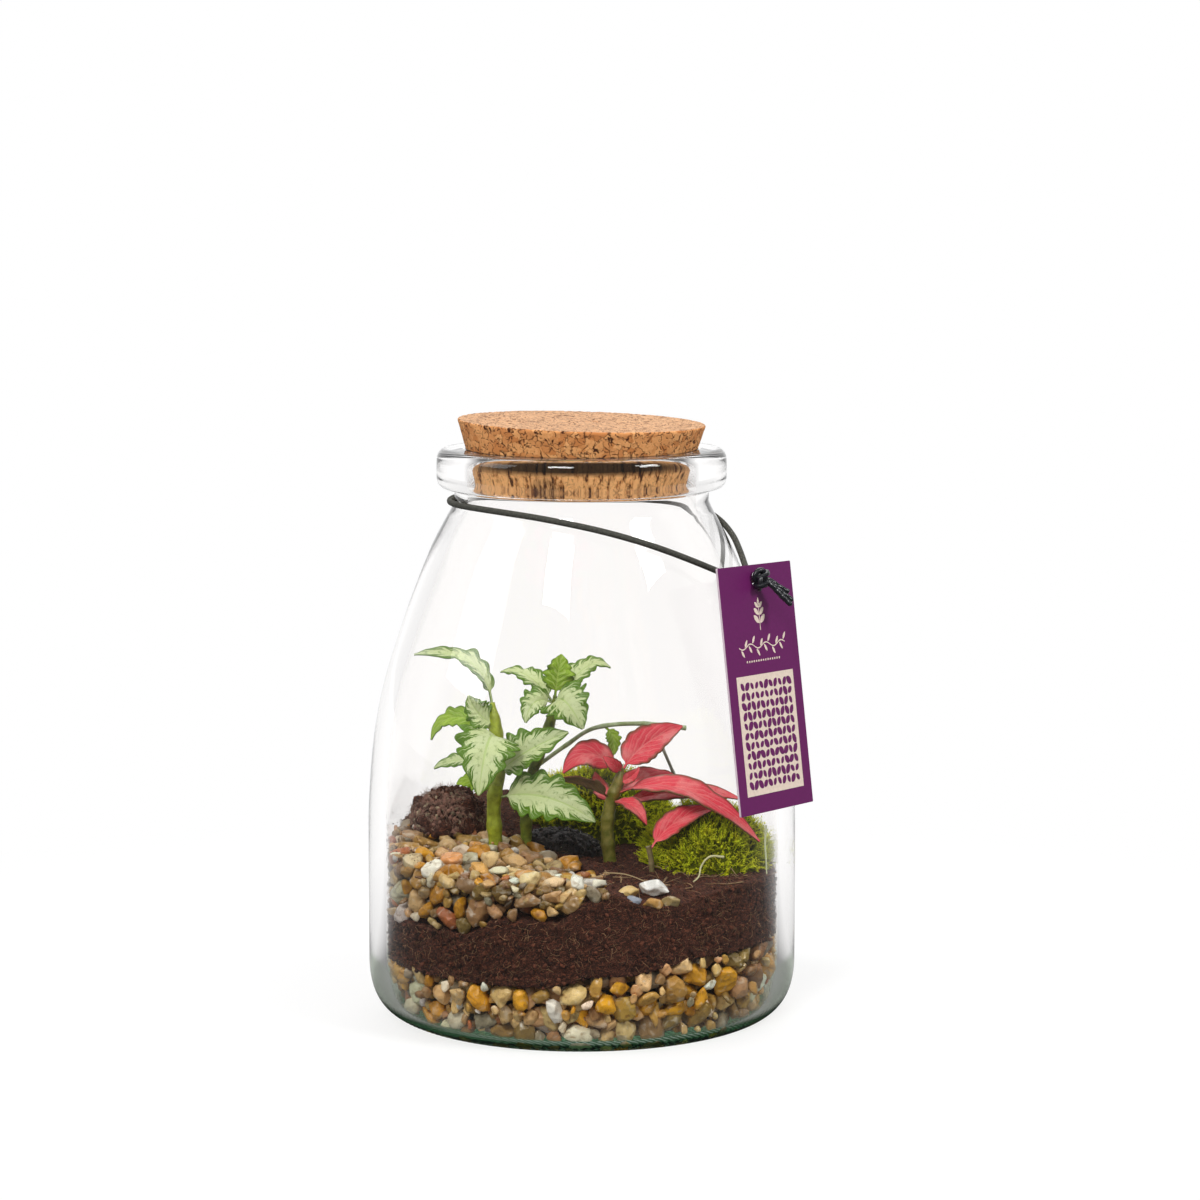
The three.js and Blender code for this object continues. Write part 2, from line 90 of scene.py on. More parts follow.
# Grey levels along a ramp, as pairs of position and level; levels may pass 1.
def rampOf(tree, value, stops):
    ramp = addNode(tree, "ValToRGB", {0: value})
    highest = max(level for _, level in stops)
    places = ramp.color_ramp.elements
    while len(places) < len(stops):
        places.new(0.5)
    for place, (position, level) in zip(places, stops):
        place.position = position
        place.color = (level / highest,) * 3 + (1,)
    return compute(tree, "MULTIPLY", ramp.outputs[0], highest)


def noiseOf(tree, place, scale, detail=2.0, **more):
    return addNode(tree, "TexNoise", {"Vector": place, "Scale": scale, "Detail": detail, **more}).outputs[0]


def bumpOf(tree, height, strength, distance, under=None):
    inputs = {"Height": height, "Strength": strength, "Distance": distance}
    if under is not None:
        inputs["Normal"] = under
    return addNode(tree, "Bump", inputs).outputs[0]


def ownPlace(tree):
    return addNode(tree, "TexCoord").outputs["Object"]


def tintOf(tree):
    return addNode(tree, "Attribute", attribute_name="tint").outputs


# A noise mask and a bump of it on the piece's own coordinates.
def grainGroup():
    tree = bpy.data.node_groups.new("grain", "ShaderNodeTree")
    sockets = tree.interface
    for name, value in (("Scale", 800.0), ("Detail", 4.0), ("Low", 0.35), ("High", 0.65),
                        ("Bump", 0.3), ("Depth", 0.0002)):
        sockets.new_socket(name, in_out="INPUT", socket_type="NodeSocketFloat").default_value = value
    sockets.new_socket("Mask", in_out="OUTPUT", socket_type="NodeSocketFloat")
    sockets.new_socket("Normal", in_out="OUTPUT", socket_type="NodeSocketVector")
    given = tree.nodes.new("NodeGroupInput").outputs
    grain = noiseOf(tree, ownPlace(tree), given["Scale"], given["Detail"], Roughness=0.6)
    out = tree.nodes.new("NodeGroupOutput")
    tree.links.new(ranged(tree, grain, given["Low"], given["High"]), out.inputs["Mask"])
    tree.links.new(bumpOf(tree, grain, given["Bump"], given["Depth"]), out.inputs["Normal"])


def addGrain(tree, **values):
    group = tree.nodes.new("ShaderNodeGroup")
    group.node_tree = bpy.data.node_groups["grain"]
    for socket, value in values.items():
        group.inputs[socket].default_value = value
    return group.outputs


def linkMesh(name, bm, materials):
    mesh = bpy.data.meshes.new(name)
    bm.to_mesh(mesh)
    bm.free()
    for material in materials:
        mesh.materials.append(material)
    mesh.shade_smooth()
    made = bpy.data.objects.new(name, mesh)
    bpy.context.collection.objects.link(made)
    return made


# Links a finished piece, which rides on the only body and stands for the named nodes.
def addPiece(name, bm, slot, materials, *nodes):
    piece = linkMesh(name, bm, materials)
    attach(piece, "root")
    if nodes:
        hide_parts(*nodes)
    return piece


def titled(name):
    return name.title().replace("_", "")


def metres(values):
    return [value * mm for value in values]


def ease(start, end, x):
    t = min(1, max(0, (x - start) / (end - start)))
    return t * t * (3 - 2 * t)


# Evenly spaced points on a smooth line through the given ones.
def smoothLine(points, count):
    line, steps = [Vector(p) for p in points], 24
    ends = [2 * line[0] - line[1], *line, 2 * line[-1] - line[-2]]
    dense = []
    for a, b, c, d in zip(ends, ends[1:], ends[2:], ends[3:]):
        for i in range(steps):
            t = i / steps
            dense.append(0.5 * (2 * b + (c - a) * t + (2 * a - 5 * b + 4 * c - d) * t ** 2
                                + (3 * b - a - 3 * c + d) * t ** 3))
    dense.append(line[-1])
    lengths = [0]
    for a, b in zip(dense, dense[1:]):
        lengths.append(lengths[-1] + (b - a).length)
    even, j = [], 0
    for i in range(count + 1):
        target = lengths[-1] * i / count
        while j < len(dense) - 2 and lengths[j + 1] < target:
            j += 1
        share = (target - lengths[j]) / max(1e-12, lengths[j + 1] - lengths[j])
        even.append(dense[j].lerp(dense[j + 1], min(1, share)))
    return even


def bend(start, corner, end, count):
    a, b, c = Vector(start), Vector(corner), Vector(end)
    return [a.lerp(b, t).lerp(b.lerp(c, t), t) for t in (i / count for i in range(count + 1))]


# A closed tube along the points, of a radius given by the share of the way along and the angle.
def sweep(bm, points, radius, sides, tint=None):
    points = [points[0], *points, points[-1]]
    rings = len(points) - 1
    grid = bmesh.ops.create_grid(bm, x_segments=rings, y_segments=sides, size=0.5, calc_uvs=True)
    ways = [(points[min(rings, i + 2)] - points[max(0, i - 2)]).normalized() for i in range(rings + 1)]
    lifts = [ways[0].orthogonal().normalized()]
    for way in ways[1:]:
        lifts.append((lifts[-1] - way * lifts[-1].dot(way)).normalized())
    for vert in grid["verts"]:
        i = round((vert.co.x + 0.5) * rings)
        share = (i - 1) / (rings - 2)
        angle = 2 * math.pi * (vert.co.y + 0.5)
        out = lifts[i] * math.cos(angle) + ways[i].cross(lifts[i]) * math.sin(angle)
        reach = radius(share, angle) if 0 < i < rings else 0
        vert.co = points[i] + out * reach
        if tint:
            vert[bm.verts.layers.float_color["tint"]] = tint
    faces = {face for vert in grid["verts"] for face in vert.link_faces}
    bmesh.ops.remove_doubles(bm, verts=grid["verts"], dist=1e-7)
    bmesh.ops.recalc_face_normals(bm, faces=[face for face in faces if face.is_valid])


# A shape turned round +Z from (radius, height) points that start and end on the axis.
def turned(bm, profile, steps):
    verts = [bm.verts.new((r, 0, z)) for r, z in profile]
    edges = [bm.edges.new(pair) for pair in zip(verts, verts[1:])]
    bmesh.ops.spin(bm, geom=verts + edges, cent=(0, 0, 0), axis=(0, 0, 1), angle=2 * math.pi,
                   steps=steps, use_merge=True)
    bmesh.ops.remove_doubles(bm, verts=bm.verts, dist=1e-7)
    bmesh.ops.recalc_face_normals(bm, faces=bm.faces)


def tinted():
    bm = bmesh.new()
    bm.verts.layers.float_color.new("tint")
    bm.loops.layers.uv.new("UVMap")
    return bm


# A small mesh that is stamped many times.
def shapeOf(bm):
    mesh = bpy.data.meshes.new("shape")
    bm.to_mesh(mesh)
    bm.free()
    return mesh


# A moved copy of a small shape; its tint is one colour, or the values of all its points.
def stamp(bm, shape, matrix, tint):
    copy = shape.copy()
    copy.transform(matrix)
    values = tint * len(copy.vertices) if len(tint) == 4 else tint
    copy.attributes["tint"].data.foreach_set("color", values)
    bm.from_mesh(copy, face_normals=False, vertex_normals=False)
    bpy.data.meshes.remove(copy)


# Turns, sizes and moves a shape of unit size; the size is one number or a vector.
def placed(point, turn, size):
    scale = size if isinstance(size, Vector) else Vector((size,) * 3)
    return Matrix.LocRotScale(point * mm, turn, scale * mm)


def randomTurn(draw):
    return Euler([draw.uniform(0, 2 * math.pi) for _ in range(3)]).to_quaternion()


def randomWay(draw):
    return Vector([draw.gauss(0, 1) for _ in range(3)]).normalized()


# Any turn about the shape's own Z, and a small lean.
def lean(draw, spread, sideways=None):
    tip = Euler((draw.gauss(0, spread), draw.gauss(0, sideways or spread), draw.uniform(0, 6.28)))
    return tip.to_quaternion()


# One of the shapes at a point, at any turn unless one is given.
def strew(bm, draw, shapes, point, size, color, turn=None):
    shape = draw.choice(shapes)
    stamp(bm, shape, placed(point, turn or randomTurn(draw), size), color)


def shaded(color, light=1.0, alpha=1.0):
    return tuple(c * light for c in color[:3]) + (alpha,)


view = {"place": (0, -1.41176, 0.34135), "pitch": 7.468, "yaw": 0.277, "lens": 114.25, "nearest": 0.05}


def makeCamera():
    camera = bpy.data.objects.new("camera", bpy.data.cameras.new("camera"))
    camera.location = view["place"]
    camera.rotation_euler = (math.radians(90 - view["pitch"]), 0, -math.radians(view["yaw"]))
    camera.data.lens = view["lens"]
    camera.data.clip_start = view["nearest"]
    bpy.context.collection.objects.link(camera)
    bpy.context.scene.camera = camera


studio = {
    # light by direction: straight through glass, from the sides (0) to the front and the back (1), and
    # from the camera's side (0) to behind the object (1) by way of a reflection in glass, and in mirrors
    "straight": [(0.0, 0.70), (0.3, 0.86), (0.7, 0.95), (0.9, 1.0), (1.0, 1.17)],
    "through": [
        (0.0, 0.45), (0.30, 0.55), (0.46, 0.76), (0.6, 0.88), (0.85, 0.95), (0.95, 1.0), (1.0, 1.17),
    ],
    "mirrored": [(0.0, 0.012), (0.5, 0.015), (0.62, 0.10), (0.80, 0.38), (0.90, 0.66), (1.0, 1.0)],
    "floorMirrored": [(0.45, 0.02), (0.60, 0.13), (0.75, 0.34), (0.93, 0.58), (0.99, 0.9)],
    # where a range starts and ends, and the levels there
    "fill": (0.1, 0.9, 0.30, 0.62),  # soft light on everything, from the sides to above
    "floorThrough": (-0.03, 0.25, 0.82, 1.15),  # the floor through glass, from the front to the back
    "floorThrown": (0.30, 0.62, 0.15, 1),  # what is left of it for rays that glass has thrown aside
    "besideFar": (0.19, 0.13), "besideDepth": (-0.06, -0.03, 0, 0.5),  # and next to the jar
    "underFar": (0.100, 0.084), "underLevel": 0.5,  # and under it
    "floorFade": (0.09, 0.4), "floorShadow": 0.4, "floorGlow": 0.42,
    "floorSize": 6.0, "floorColor": (0.90, 0.90, 0.90, 1), "floorRoughness": 0.9, "floorGloss": 0.1,
    "lampHeight": 0.1,
    "lamps": [  # azimuth from the camera, elevation, distance, size, watts
        (-19, 42, 1.5, 0.42, 12), (60, 40, 1.6, 0.42, 12), (180, 55, 1.4, 0.9, 6), (-75, 30, 1.5, 0.7, 4),
    ],
}


def makeWorld():
    world = bpy.data.worlds.new("studio")
    world.use_nodes = True
    bpy.context.scene.world = world
    tree = world.node_tree
    tree.nodes.clear()
    ray = addNode(tree, "LightPath").outputs
    way = addNode(tree, "SeparateXYZ", {0: addNode(tree, "TexCoord").outputs["Generated"]}).outputs
    depth = ranged(tree, way["Y"], -1, 1)
    straight = rampOf(tree, compute(tree, "ABSOLUTE", way["Y"]), studio["straight"])
    thrown = ranged(tree, ray["Glossy Depth"], 0, 1)
    through = mixLevel(tree, thrown, straight, rampOf(tree, depth, studio["through"]))
    mirrored = rampOf(tree, depth, studio["mirrored"])
    level = mixLevel(tree, ray["Is Transmission Ray"], mirrored, through)
    level = mixLevel(tree, ray["Is Diffuse Ray"], level, ranged(tree, way["Z"], *studio["fill"]))
    level = mixLevel(tree, ray["Is Camera Ray"], level, 1.0)
    background = addNode(tree, "Background", {"Color": (1, 1, 1, 1), "Strength": level})
    out = addNode(tree, "OutputWorld")
    tree.links.new(background.outputs[0], out.inputs["Surface"])


# The floor turns to plain light away from the object, so that no horizon shows.
def makeFloor():
    s = studio
    bm = bmesh.new()
    bmesh.ops.create_circle(bm, cap_ends=True, segments=96, radius=s["floorSize"])
    material, tree, shader = newMaterial("studioFloor", Base_Color=s["floorColor"],
                                         Roughness=s["floorRoughness"], Specular_IOR_Level=s["floorGloss"])
    place = ownPlace(tree)
    far = addNode(tree, "VectorMath", {0: place}, operation="LENGTH").outputs["Value"]
    depth = addNode(tree, "SeparateXYZ", {0: place}).outputs["Y"]
    way = addNode(tree, "VectorMath", {0: place}, operation="NORMALIZE").outputs[0]
    behind = addNode(tree, "SeparateXYZ", {0: way}).outputs["Y"]
    ray = addNode(tree, "LightPath").outputs
    mirrored = rampOf(tree, ranged(tree, behind, -1, 1), s["floorMirrored"])
    # rays that a surface has thrown forwards or sideways find a dark floor, so that they don't veil the bed
    lit = ranged(tree, behind, *s["floorThrown"])
    beside = compute(tree, "MULTIPLY", ranged(tree, far, *s["besideFar"]),
                     ranged(tree, depth, *s["besideDepth"]))
    lit = compute(tree, "MAXIMUM", lit, beside)
    lit = mixLevel(tree, ranged(tree, far, *s["underFar"]), lit, s["underLevel"])
    lit = mixLevel(tree, ranged(tree, ray["Glossy Depth"], 0, 1), 1.0, lit)
    through = compute(tree, "MULTIPLY", ranged(tree, depth, *s["floorThrough"]), lit)
    level = mixLevel(tree, ray["Is Transmission Ray"], mirrored, through)
    level = mixLevel(tree, ray["Is Diffuse Ray"], level, s["floorGlow"])
    level = mixLevel(tree, ray["Is Camera Ray"], level, 1.0)
    start, end = s["floorFade"]
    share = addNode(tree, "MapRange", {0: far, 1: start, 2: end, 3: 1 - s["floorShadow"]},
                    interpolation_type="SMOOTHSTEP").outputs[0]
    share = compute(tree, "MAXIMUM", share, compute(tree, "SUBTRACT", 1.0, ray["Is Camera Ray"]))
    plain = addNode(tree, "Emission", {"Color": (1, 1, 1, 1), "Strength": level})
    mix = addNode(tree, "MixShader", {0: share, 1: shader.outputs[0], 2: plain.outputs[0]})
    tree.links.new(mix.outputs[0], tree.nodes["Material Output"].inputs["Surface"])
    linkMesh("studioFloor", bm, [material])


def makeLamps():
    for number, (azimuth, elevation, distance, size, watts) in enumerate(studio["lamps"]):
        lamp = bpy.data.objects.new(f"lamp{number}", bpy.data.lights.new(f"lamp{number}", "AREA"))
        lamp.data.size = size
        lamp.data.energy = watts
        turn = Euler((math.radians(90 - elevation), 0, math.radians(azimuth)))
        lamp.location = Vector((0, 0, studio["lampHeight"])) + turn.to_matrix() @ Vector((0, 0, distance))
        lamp.rotation_euler = turn
        bpy.context.collection.objects.link(lamp)


jar = {
    "footInner": 58, "footWidth": 3, "footOuter": 65.5, "footRise": 1.5, "footSlope": 6, "footMiddle": 30,
    "heelCorner": (80.5, 2), "bodyRadius": 80.3, "heelHeight": 22, "bodyRows": (30, 45),
    "shoulder": [(80.3, 62), (80, 81), (78, 105), (74.3, 125), (68.2, 145), (60.9, 165),
                 (55.5, 178), (50, 188.5), (47.5, 193), (47.4, 197.4)],
    # close rows where the neck turns out into the bead, so that its shading stays clean
    "collar": [(47.4, 197.8), (47.45, 198.2), (47.65, 198.55), (48.1, 198.8), (48.8, 198.9)],
    "collarRadius": 50.2, "collarTop": 199, "beadRadius": 54, "beadLow": 203, "beadHigh": 208.5,
    "rimTop": 213.5, "rimCrest": 49.5, "mouthRadius": 42.9, "mouthRound": 1.6, "mouthEdge": 211.5,
    "boreRadius": 42.6, "boreLow": 198,
    "shoulderInside": [(42.7, 193.5), (43.3, 190), (45.4, 185.8), (49, 178), (54.2, 165), (61.6, 145),
                       (68, 125), (71.9, 105), (73.8, 81), (74, 62)],
    "innerRadius": 74, "innerRows": (45, 32), "innerHeel": 24, "floorHeight": 5, "floorRadius": 65,
    "floorRows": (45, 20, 0), "steps": 600,
    "ridges": 150, "ridgeDepth": 0.42, "ridgeTwist": 0.055, "ridgeReach": 65.4,
    "ridgeTop": (7, 2), "ridgeFoot": (-0.2, 1.2),  # heights between which the ridges fade out and in
    "clear": (0.978, 0.968, 0.961, 1), "thick": (0.30, 0.37, 0.27, 1), "thickTop": (27, 24),
    "thickFacing": (0.16, 0.80, 0.03, 1.0),  # least and most tint, by how far the glass turns away
    "deep": (0.018, 0.080, 0.028, 1), "deepTop": (4.0, 1.2), "deepFacing": 6,
    "ridgeHighlight": (0.62, 0.88, 0.66, 1), "ridgeHighlightTop": (2.6, 1.6), "ridgeHighlightWidth": (0.2, 0.7),
    "shade": (0.95, 0.97, 0.955, 1), "index": 1.46,
}


def glassMaterial():
    j = jar
    material, tree, shader = newMaterial("clearGlass", Roughness=0.0, IOR=j["index"],
                                         Transmission_Weight=1.0)
    split = addNode(tree, "SeparateXYZ", {0: ownPlace(tree)}).outputs
    height = split["Z"]
    facing = addNode(tree, "LayerWeight", {"Blend": 0.5}).outputs["Facing"]
    share = compute(tree, "MULTIPLY", ranged(tree, height, *metres(j["thickTop"])),
                    ranged(tree, facing, *j["thickFacing"]))
    color = mixColor(tree, share, j["clear"], j["thick"])
    # the foot is darkest, with pale strokes along its ridges that are painted highlights
    level = compute(tree, "MULTIPLY_ADD", facing, -j["deepFacing"] * mm, height)
    share = ranged(tree, level, *metres(j["deepTop"]))
    angle = compute(tree, "ARCTAN2", split["Y"], split["X"])
    angle = compute(tree, "MULTIPLY_ADD", height, j["ridgeTwist"] / mm, angle)
    ridge = compute(tree, "COSINE", compute(tree, "MULTIPLY", angle, j["ridges"]))
    ridge = compute(tree, "MULTIPLY", ranged(tree, ridge, *j["ridgeHighlightWidth"]),
                    ranged(tree, height, *metres(j["ridgeHighlightTop"])))
    color = mixColor(tree, share, color, mixColor(tree, ridge, j["deep"], j["ridgeHighlight"]))
    feed(tree, shader, Base_Color=color)
    ray = addNode(tree, "LightPath").outputs
    passing = compute(tree, "MAXIMUM", ray["Is Shadow Ray"], ray["Is Diffuse Ray"])
    clear = addNode(tree, "BsdfTransparent", {"Color": j["shade"]})
    mix = addNode(tree, "MixShader", {0: passing, 1: shader.outputs[0], 2: clear.outputs[0]})
    tree.links.new(mix.outputs[0], tree.nodes["Material Output"].inputs["Surface"])
    return material


# The jar's outside from the middle of the foot to the crest of the rim, as radius and height.
def jarOutside():
    j = jar
    profile = [(0, j["footRise"]), (j["footMiddle"], j["footRise"]),
               (j["footInner"] - j["footSlope"], j["footRise"]),
               (j["footInner"], 0), (j["footInner"] + j["footWidth"], 0)]
    profile += bend((j["footOuter"], 0), j["heelCorner"], (j["bodyRadius"], j["heelHeight"]), 26)
    profile += [(j["bodyRadius"], height) for height in j["bodyRows"]]
    profile += smoothLine(j["shoulder"], 40) + j["collar"]
    profile += bend((j["collarRadius"], j["collarTop"]), (j["beadRadius"], j["collarTop"]),
                    (j["beadRadius"], j["beadLow"]), 7)
    return profile + bend((j["beadRadius"], j["beadHigh"]), (j["beadRadius"], j["rimTop"]),
                          (j["rimCrest"], j["rimTop"]), 9)


# The same inside it, from the mouth down to the middle of the floor.
def jarInside():
    j = jar
    profile = bend((j["mouthRadius"] + j["mouthRound"], j["rimTop"]), (j["mouthRadius"], j["rimTop"]),
                   (j["mouthRadius"], j["mouthEdge"]), 5)
    profile += [(j["boreRadius"], j["boreLow"])] + smoothLine(j["shoulderInside"], 36)
    profile += [(j["innerRadius"], height) for height in j["innerRows"]]
    profile += bend((j["innerRadius"], j["innerHeel"]), (j["innerRadius"], j["floorHeight"]),
                    (j["floorRadius"], j["floorHeight"]), 14)
    return profile + [(radius, j["floorHeight"]) for radius in j["floorRows"]]


def makeJar():
    bm = bmesh.new()
    turned(bm, [metres(point[:2]) for point in jarOutside() + jarInside()], jar["steps"])
    for vert in bm.verts:  # slanting ridges round the outside of the foot
        x, y, z = vert.co / mm
        far = math.hypot(x, y)
        if z > jar["ridgeTop"][0] or far < jar["ridgeReach"]:
            continue
        angle = math.atan2(y, x) + z * jar["ridgeTwist"]
        fade = ease(*jar["ridgeTop"], z) * ease(*jar["ridgeFoot"], z)
        groove = jar["ridgeDepth"] * fade * (0.5 - 0.5 * math.cos(jar["ridges"] * angle))
        vert.co.xy *= 1 - groove / far
    addPiece("jarGlass", bm, "clear_glass", [glassMaterial()], "jar")


cork = {
    "bottomRadius": 38.6, "topRadius": 46.1, "bottom": 198.6, "top": 223.3, "edge": 0.9, "tilt": 1.7,
    "shift": -0.38, "rows": 26, "steps": 288, "granule": 3.0, "pit": 0.45, "pitWidth": 0.16, "uneven": 0.12,
    "light": (0.86, 0.42, 0.160, 1), "mid": (0.57, 0.210, 0.062, 1), "dark": (0.070, 0.022, 0.008, 1),
    "topPale": (0.62, 0.385, 0.225, 1),
    "wobble": 0.003, "wobbleScale": 420.0, "fineScale": 1300.0, "squiggleScale": 240.0,
    "patchScale": 330.0, "pitScale": 300.0,
    # pressed against the glass: the heights where that starts, its streaks and their painted highlights, and
    # a dark band above them, painted shade where the cork meets the mouth
    "pressed": (212.5, 209), "streaks": (620, 620, 40), "glow": (1.0, 0.50, 0.20, 1),
    "stain": (-12.5, -37.0, 201.5), "stainReach": (6.5, 3.5),
    "paintedShadeLow": (206.4, 208.0), "paintedShadeHigh": (213.8, 213.2), "paintedShadeLevel": 0.055,
}


# Granules of two browns, paler on top, with fine dark marks: their colour, the marks, and the fine noise.
def corkGranules(tree, place):
    c = cork
    wobble = addNode(tree, "TexNoise", {"Vector": place, "Scale": c["wobbleScale"], "Detail": 3.0})
    moved = addNode(tree, "VectorMath", {0: wobble.outputs["Color"], 1: (c["wobble"],) * 3, 2: place},
                    operation="MULTIPLY_ADD").outputs[0]
    scale = 1000 / c["granule"]
    cells = addNode(tree, "TexVoronoi", {"Vector": moved, "Scale": scale})
    seams = addNode(tree, "TexVoronoi", {"Vector": moved, "Scale": scale}, feature="DISTANCE_TO_EDGE")
    hue = addNode(tree, "SeparateColor", {0: cells.outputs["Color"]}).outputs[0]
    body = mixColor(tree, hue, c["mid"], c["light"])
    normal = addNode(tree, "NewGeometry").outputs["Normal"]
    upward = addNode(tree, "SeparateXYZ", {0: normal}).outputs["Z"]
    body = mixColor(tree, ranged(tree, upward, 0.7, 0.95, 0, 0.85), body, c["topPale"])
    fine = noiseOf(tree, place, c["fineScale"], 4.0)
    body = mixColor(tree, ranged(tree, fine, 0.48, 0.68, 0, 0.5), body, c["mid"])
    # thin squiggles along the level lines of one noise, where a second one lets them
    squiggles = noiseOf(tree, place, c["squiggleScale"], 3.0, Distortion=0.6)
    off = compute(tree, "ABSOLUTE", compute(tree, "SUBTRACT", squiggles, 0.5))
    patches = noiseOf(tree, place, c["patchScale"], 4.0)
    marks = compute(tree, "MULTIPLY", ranged(tree, off, 0.028, 0.008), ranged(tree, patches, 0.48, 0.54))
    cracks = compute(tree, "MULTIPLY", ranged(tree, seams.outputs["Distance"], 0.075, 0.02, 0, 0.9),
                     ranged(tree, patches, 0.53, 0.45))
    pits = ranged(tree, noiseOf(tree, moved, c["pitScale"]), 0.655, 0.70)
    for more in (cracks, pits, ranged(tree, fine, 0.70, 0.76)):
        marks = compute(tree, "MAXIMUM", marks, more)
    return body, marks, fine


def corkMaterial():
    c = cork
    material, tree, shader = newMaterial("corkGranules", Roughness=0.82, Specular_IOR_Level=0.25)
    place = ownPlace(tree)
    body, marks, fine = corkGranules(tree, place)
    height = addNode(tree, "SeparateXYZ", {0: place}).outputs["Z"]
    tall = addNode(tree, "VectorMath", {0: place, 1: c["streaks"]}, operation="MULTIPLY").outputs[0]
    streak = noiseOf(tree, tall, 1.0, 4.0, Roughness=0.65)
    low = ranged(tree, height, *metres(c["pressed"]))
    # bright orange in the streaks below the rim: painted highlights
    glow = compute(tree, "MULTIPLY", ranged(tree, streak, 0.58, 0.48), low)
    body = mixColor(tree, glow, body, c["glow"])
    streaks = compute(tree, "MULTIPLY", ranged(tree, streak, 0.56, 0.63, 0, 0.97), low)
    marks = compute(tree, "MULTIPLY", marks, ranged(tree, low, 0, 1, 1, 0.35))
    apart = addNode(tree, "VectorMath", {0: place, 1: metres(c["stain"])}, operation="DISTANCE")
    stain = compute(tree, "MULTIPLY", ranged(tree, apart.outputs["Value"], *metres(c["stainReach"])),
                    ranged(tree, streak, 0.38, 0.56, 0.25, 0.95))
    streaks = compute(tree, "MAXIMUM", streaks, stain)
    body = mixColor(tree, compute(tree, "MAXIMUM", marks, streaks), body, c["dark"])
    # a dark band just under the rim: painted shade where the cork sits in the shadow of the mouth
    band = compute(tree, "MULTIPLY", ranged(tree, height, *metres(c["paintedShadeLow"])),
                   ranged(tree, height, *metres(c["paintedShadeHigh"])))
    body = mixColor(tree, 1.0, body, ranged(tree, band, 0, 1, 1, c["paintedShadeLevel"]), "MULTIPLY")
    relief = compute(tree, "SUBTRACT", fine, compute(tree, "MULTIPLY", marks, 1.5))
    feed(tree, shader, Base_Color=body, Normal=bumpOf(tree, relief, 0.5, 0.0003))
    return material


def makeCork():
    c = cork
    low, high, edge = c["bottomRadius"], c["topRadius"], c["edge"]
    profile = [(low * i / 14, c["bottom"]) for i in range(14)] + [(low - edge * 0.3, c["bottom"])]
    for i in range(c["rows"] + 1):
        share = i / c["rows"]
        height = c["bottom"] + edge * 0.4 + (c["top"] - c["bottom"] - edge * 0.9) * share
        profile.append((low + (high - low) * share, height))
    profile += [(high - edge * 0.35, c["top"])]
    profile += [((high - edge) * i / 24, c["top"]) for i in range(24, -1, -1)]
    bm = bmesh.new()
    turned(bm, [metres(point) for point in profile], c["steps"])
    bm.normal_update()
    for vert in bm.verts:  # pits between granules, and a slightly uneven cut
        point = vert.co / mm
        near = noise.voronoi(point / c["granule"])[0]
        gap = max(0, c["pitWidth"] - (near[1] - near[0])) / c["pitWidth"]
        patch = ease(-0.1, 0.35, noise.noise(point * 0.16))
        dent = c["pit"] * gap * patch + c["uneven"] * noise.noise(point * 0.7)
        vert.co -= vert.normal * dent * mm
    middle = Vector((0, 0, (c["bottom"] + c["top"]) / 2 * mm))
    across = Vector((c["shift"] * mm, 0, 0))
    turn = Matrix.Translation(middle + across) @ Matrix.Rotation(math.radians(c["tilt"]), 4, "Y")
    bmesh.ops.transform(bm, matrix=turn @ Matrix.Translation(-middle), verts=bm.verts)
    addPiece("corkStopper", bm, "cork_grain", [corkMaterial()], "cork_stopper")


cord = {
    "diameter": 0.0023, "length": 0.345, "steps": 150,
    "color": (0.040, 0.040, 0.033, 1), "fray": (0.095, 0.092, 0.075, 1),
}
cordRoute = [  # metres, from the knot, round the neck by the front and the back, and back
    (.0628, -.0324, .1679), (.0607, -.0312, .1676), (.0574, -.0314, .1679), (.0538, -.0334, .1694),
    (.0490, -.0372, .1719), (.0400, -.0426, .1762), (.0300, -.0478, .1806), (.0200, -.0509, .1843),
    (.0080, -.0524, .1878), (-.0035, -.0504, .1902), (-.0155, -.0472, .1922), (-.0270, -.0412, .1934),
    (-.0370, -.0326, .1940), (-.0445, -.0208, .1940), (-.0486, -.0070, .1938), (-.0485, .0080, .1937),
    (-.0437, .0223, .1936), (-.0346, .0349, .1935), (-.0222, .0439, .1934), (-.0072, .0487, .1931),
    (.0082, .0488, .1926), (.0229, .0443, .1918), (.0358, .0359, .1904), (.0456, .0250, .1880),
    (.0522, .0149, .1846), (.0564, .0046, .1803), (.0586, -.0060, .1760), (.0602, -.0155, .1716),
    (.0612, -.0244, .1686), (.0623, -.0284, .1676), (.06425, -.03015, .1678),
]


def cordMaterial():
    material, tree, shader = newMaterial("cordSuede", Roughness=0.78, Specular_IOR_Level=0.35)
    grain = addGrain(tree, Scale=1400.0, Low=0.4, High=0.75, Bump=0.7, Depth=0.00025)
    color = mixColor(tree, grain["Mask"], cord["color"], cord["fray"])
    feed(tree, shader, Base_Color=color, Normal=grain["Normal"])
    return material


def makeCord(knotPiece):
    curve = bpy.data.curves.new("neckCord", "CURVE")
    curve.dimensions = "3D"
    curve.bevel_depth = cord["diameter"] / 2
    curve.bevel_resolution = 4
    curve.use_fill_caps = True
    points = smoothLine(cordRoute, cord["steps"])
    spline = curve.splines.new("POLY")
    spline.points.add(len(points) - 1)
    for point, place in zip(spline.points, points):
        point.co = (*place, 1)
    piece = bpy.data.objects.new("neckCord", curve)
    bpy.context.collection.objects.link(piece)
    curve.materials.append(cordMaterial())
    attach(piece, "root")
    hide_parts("neck_cord")


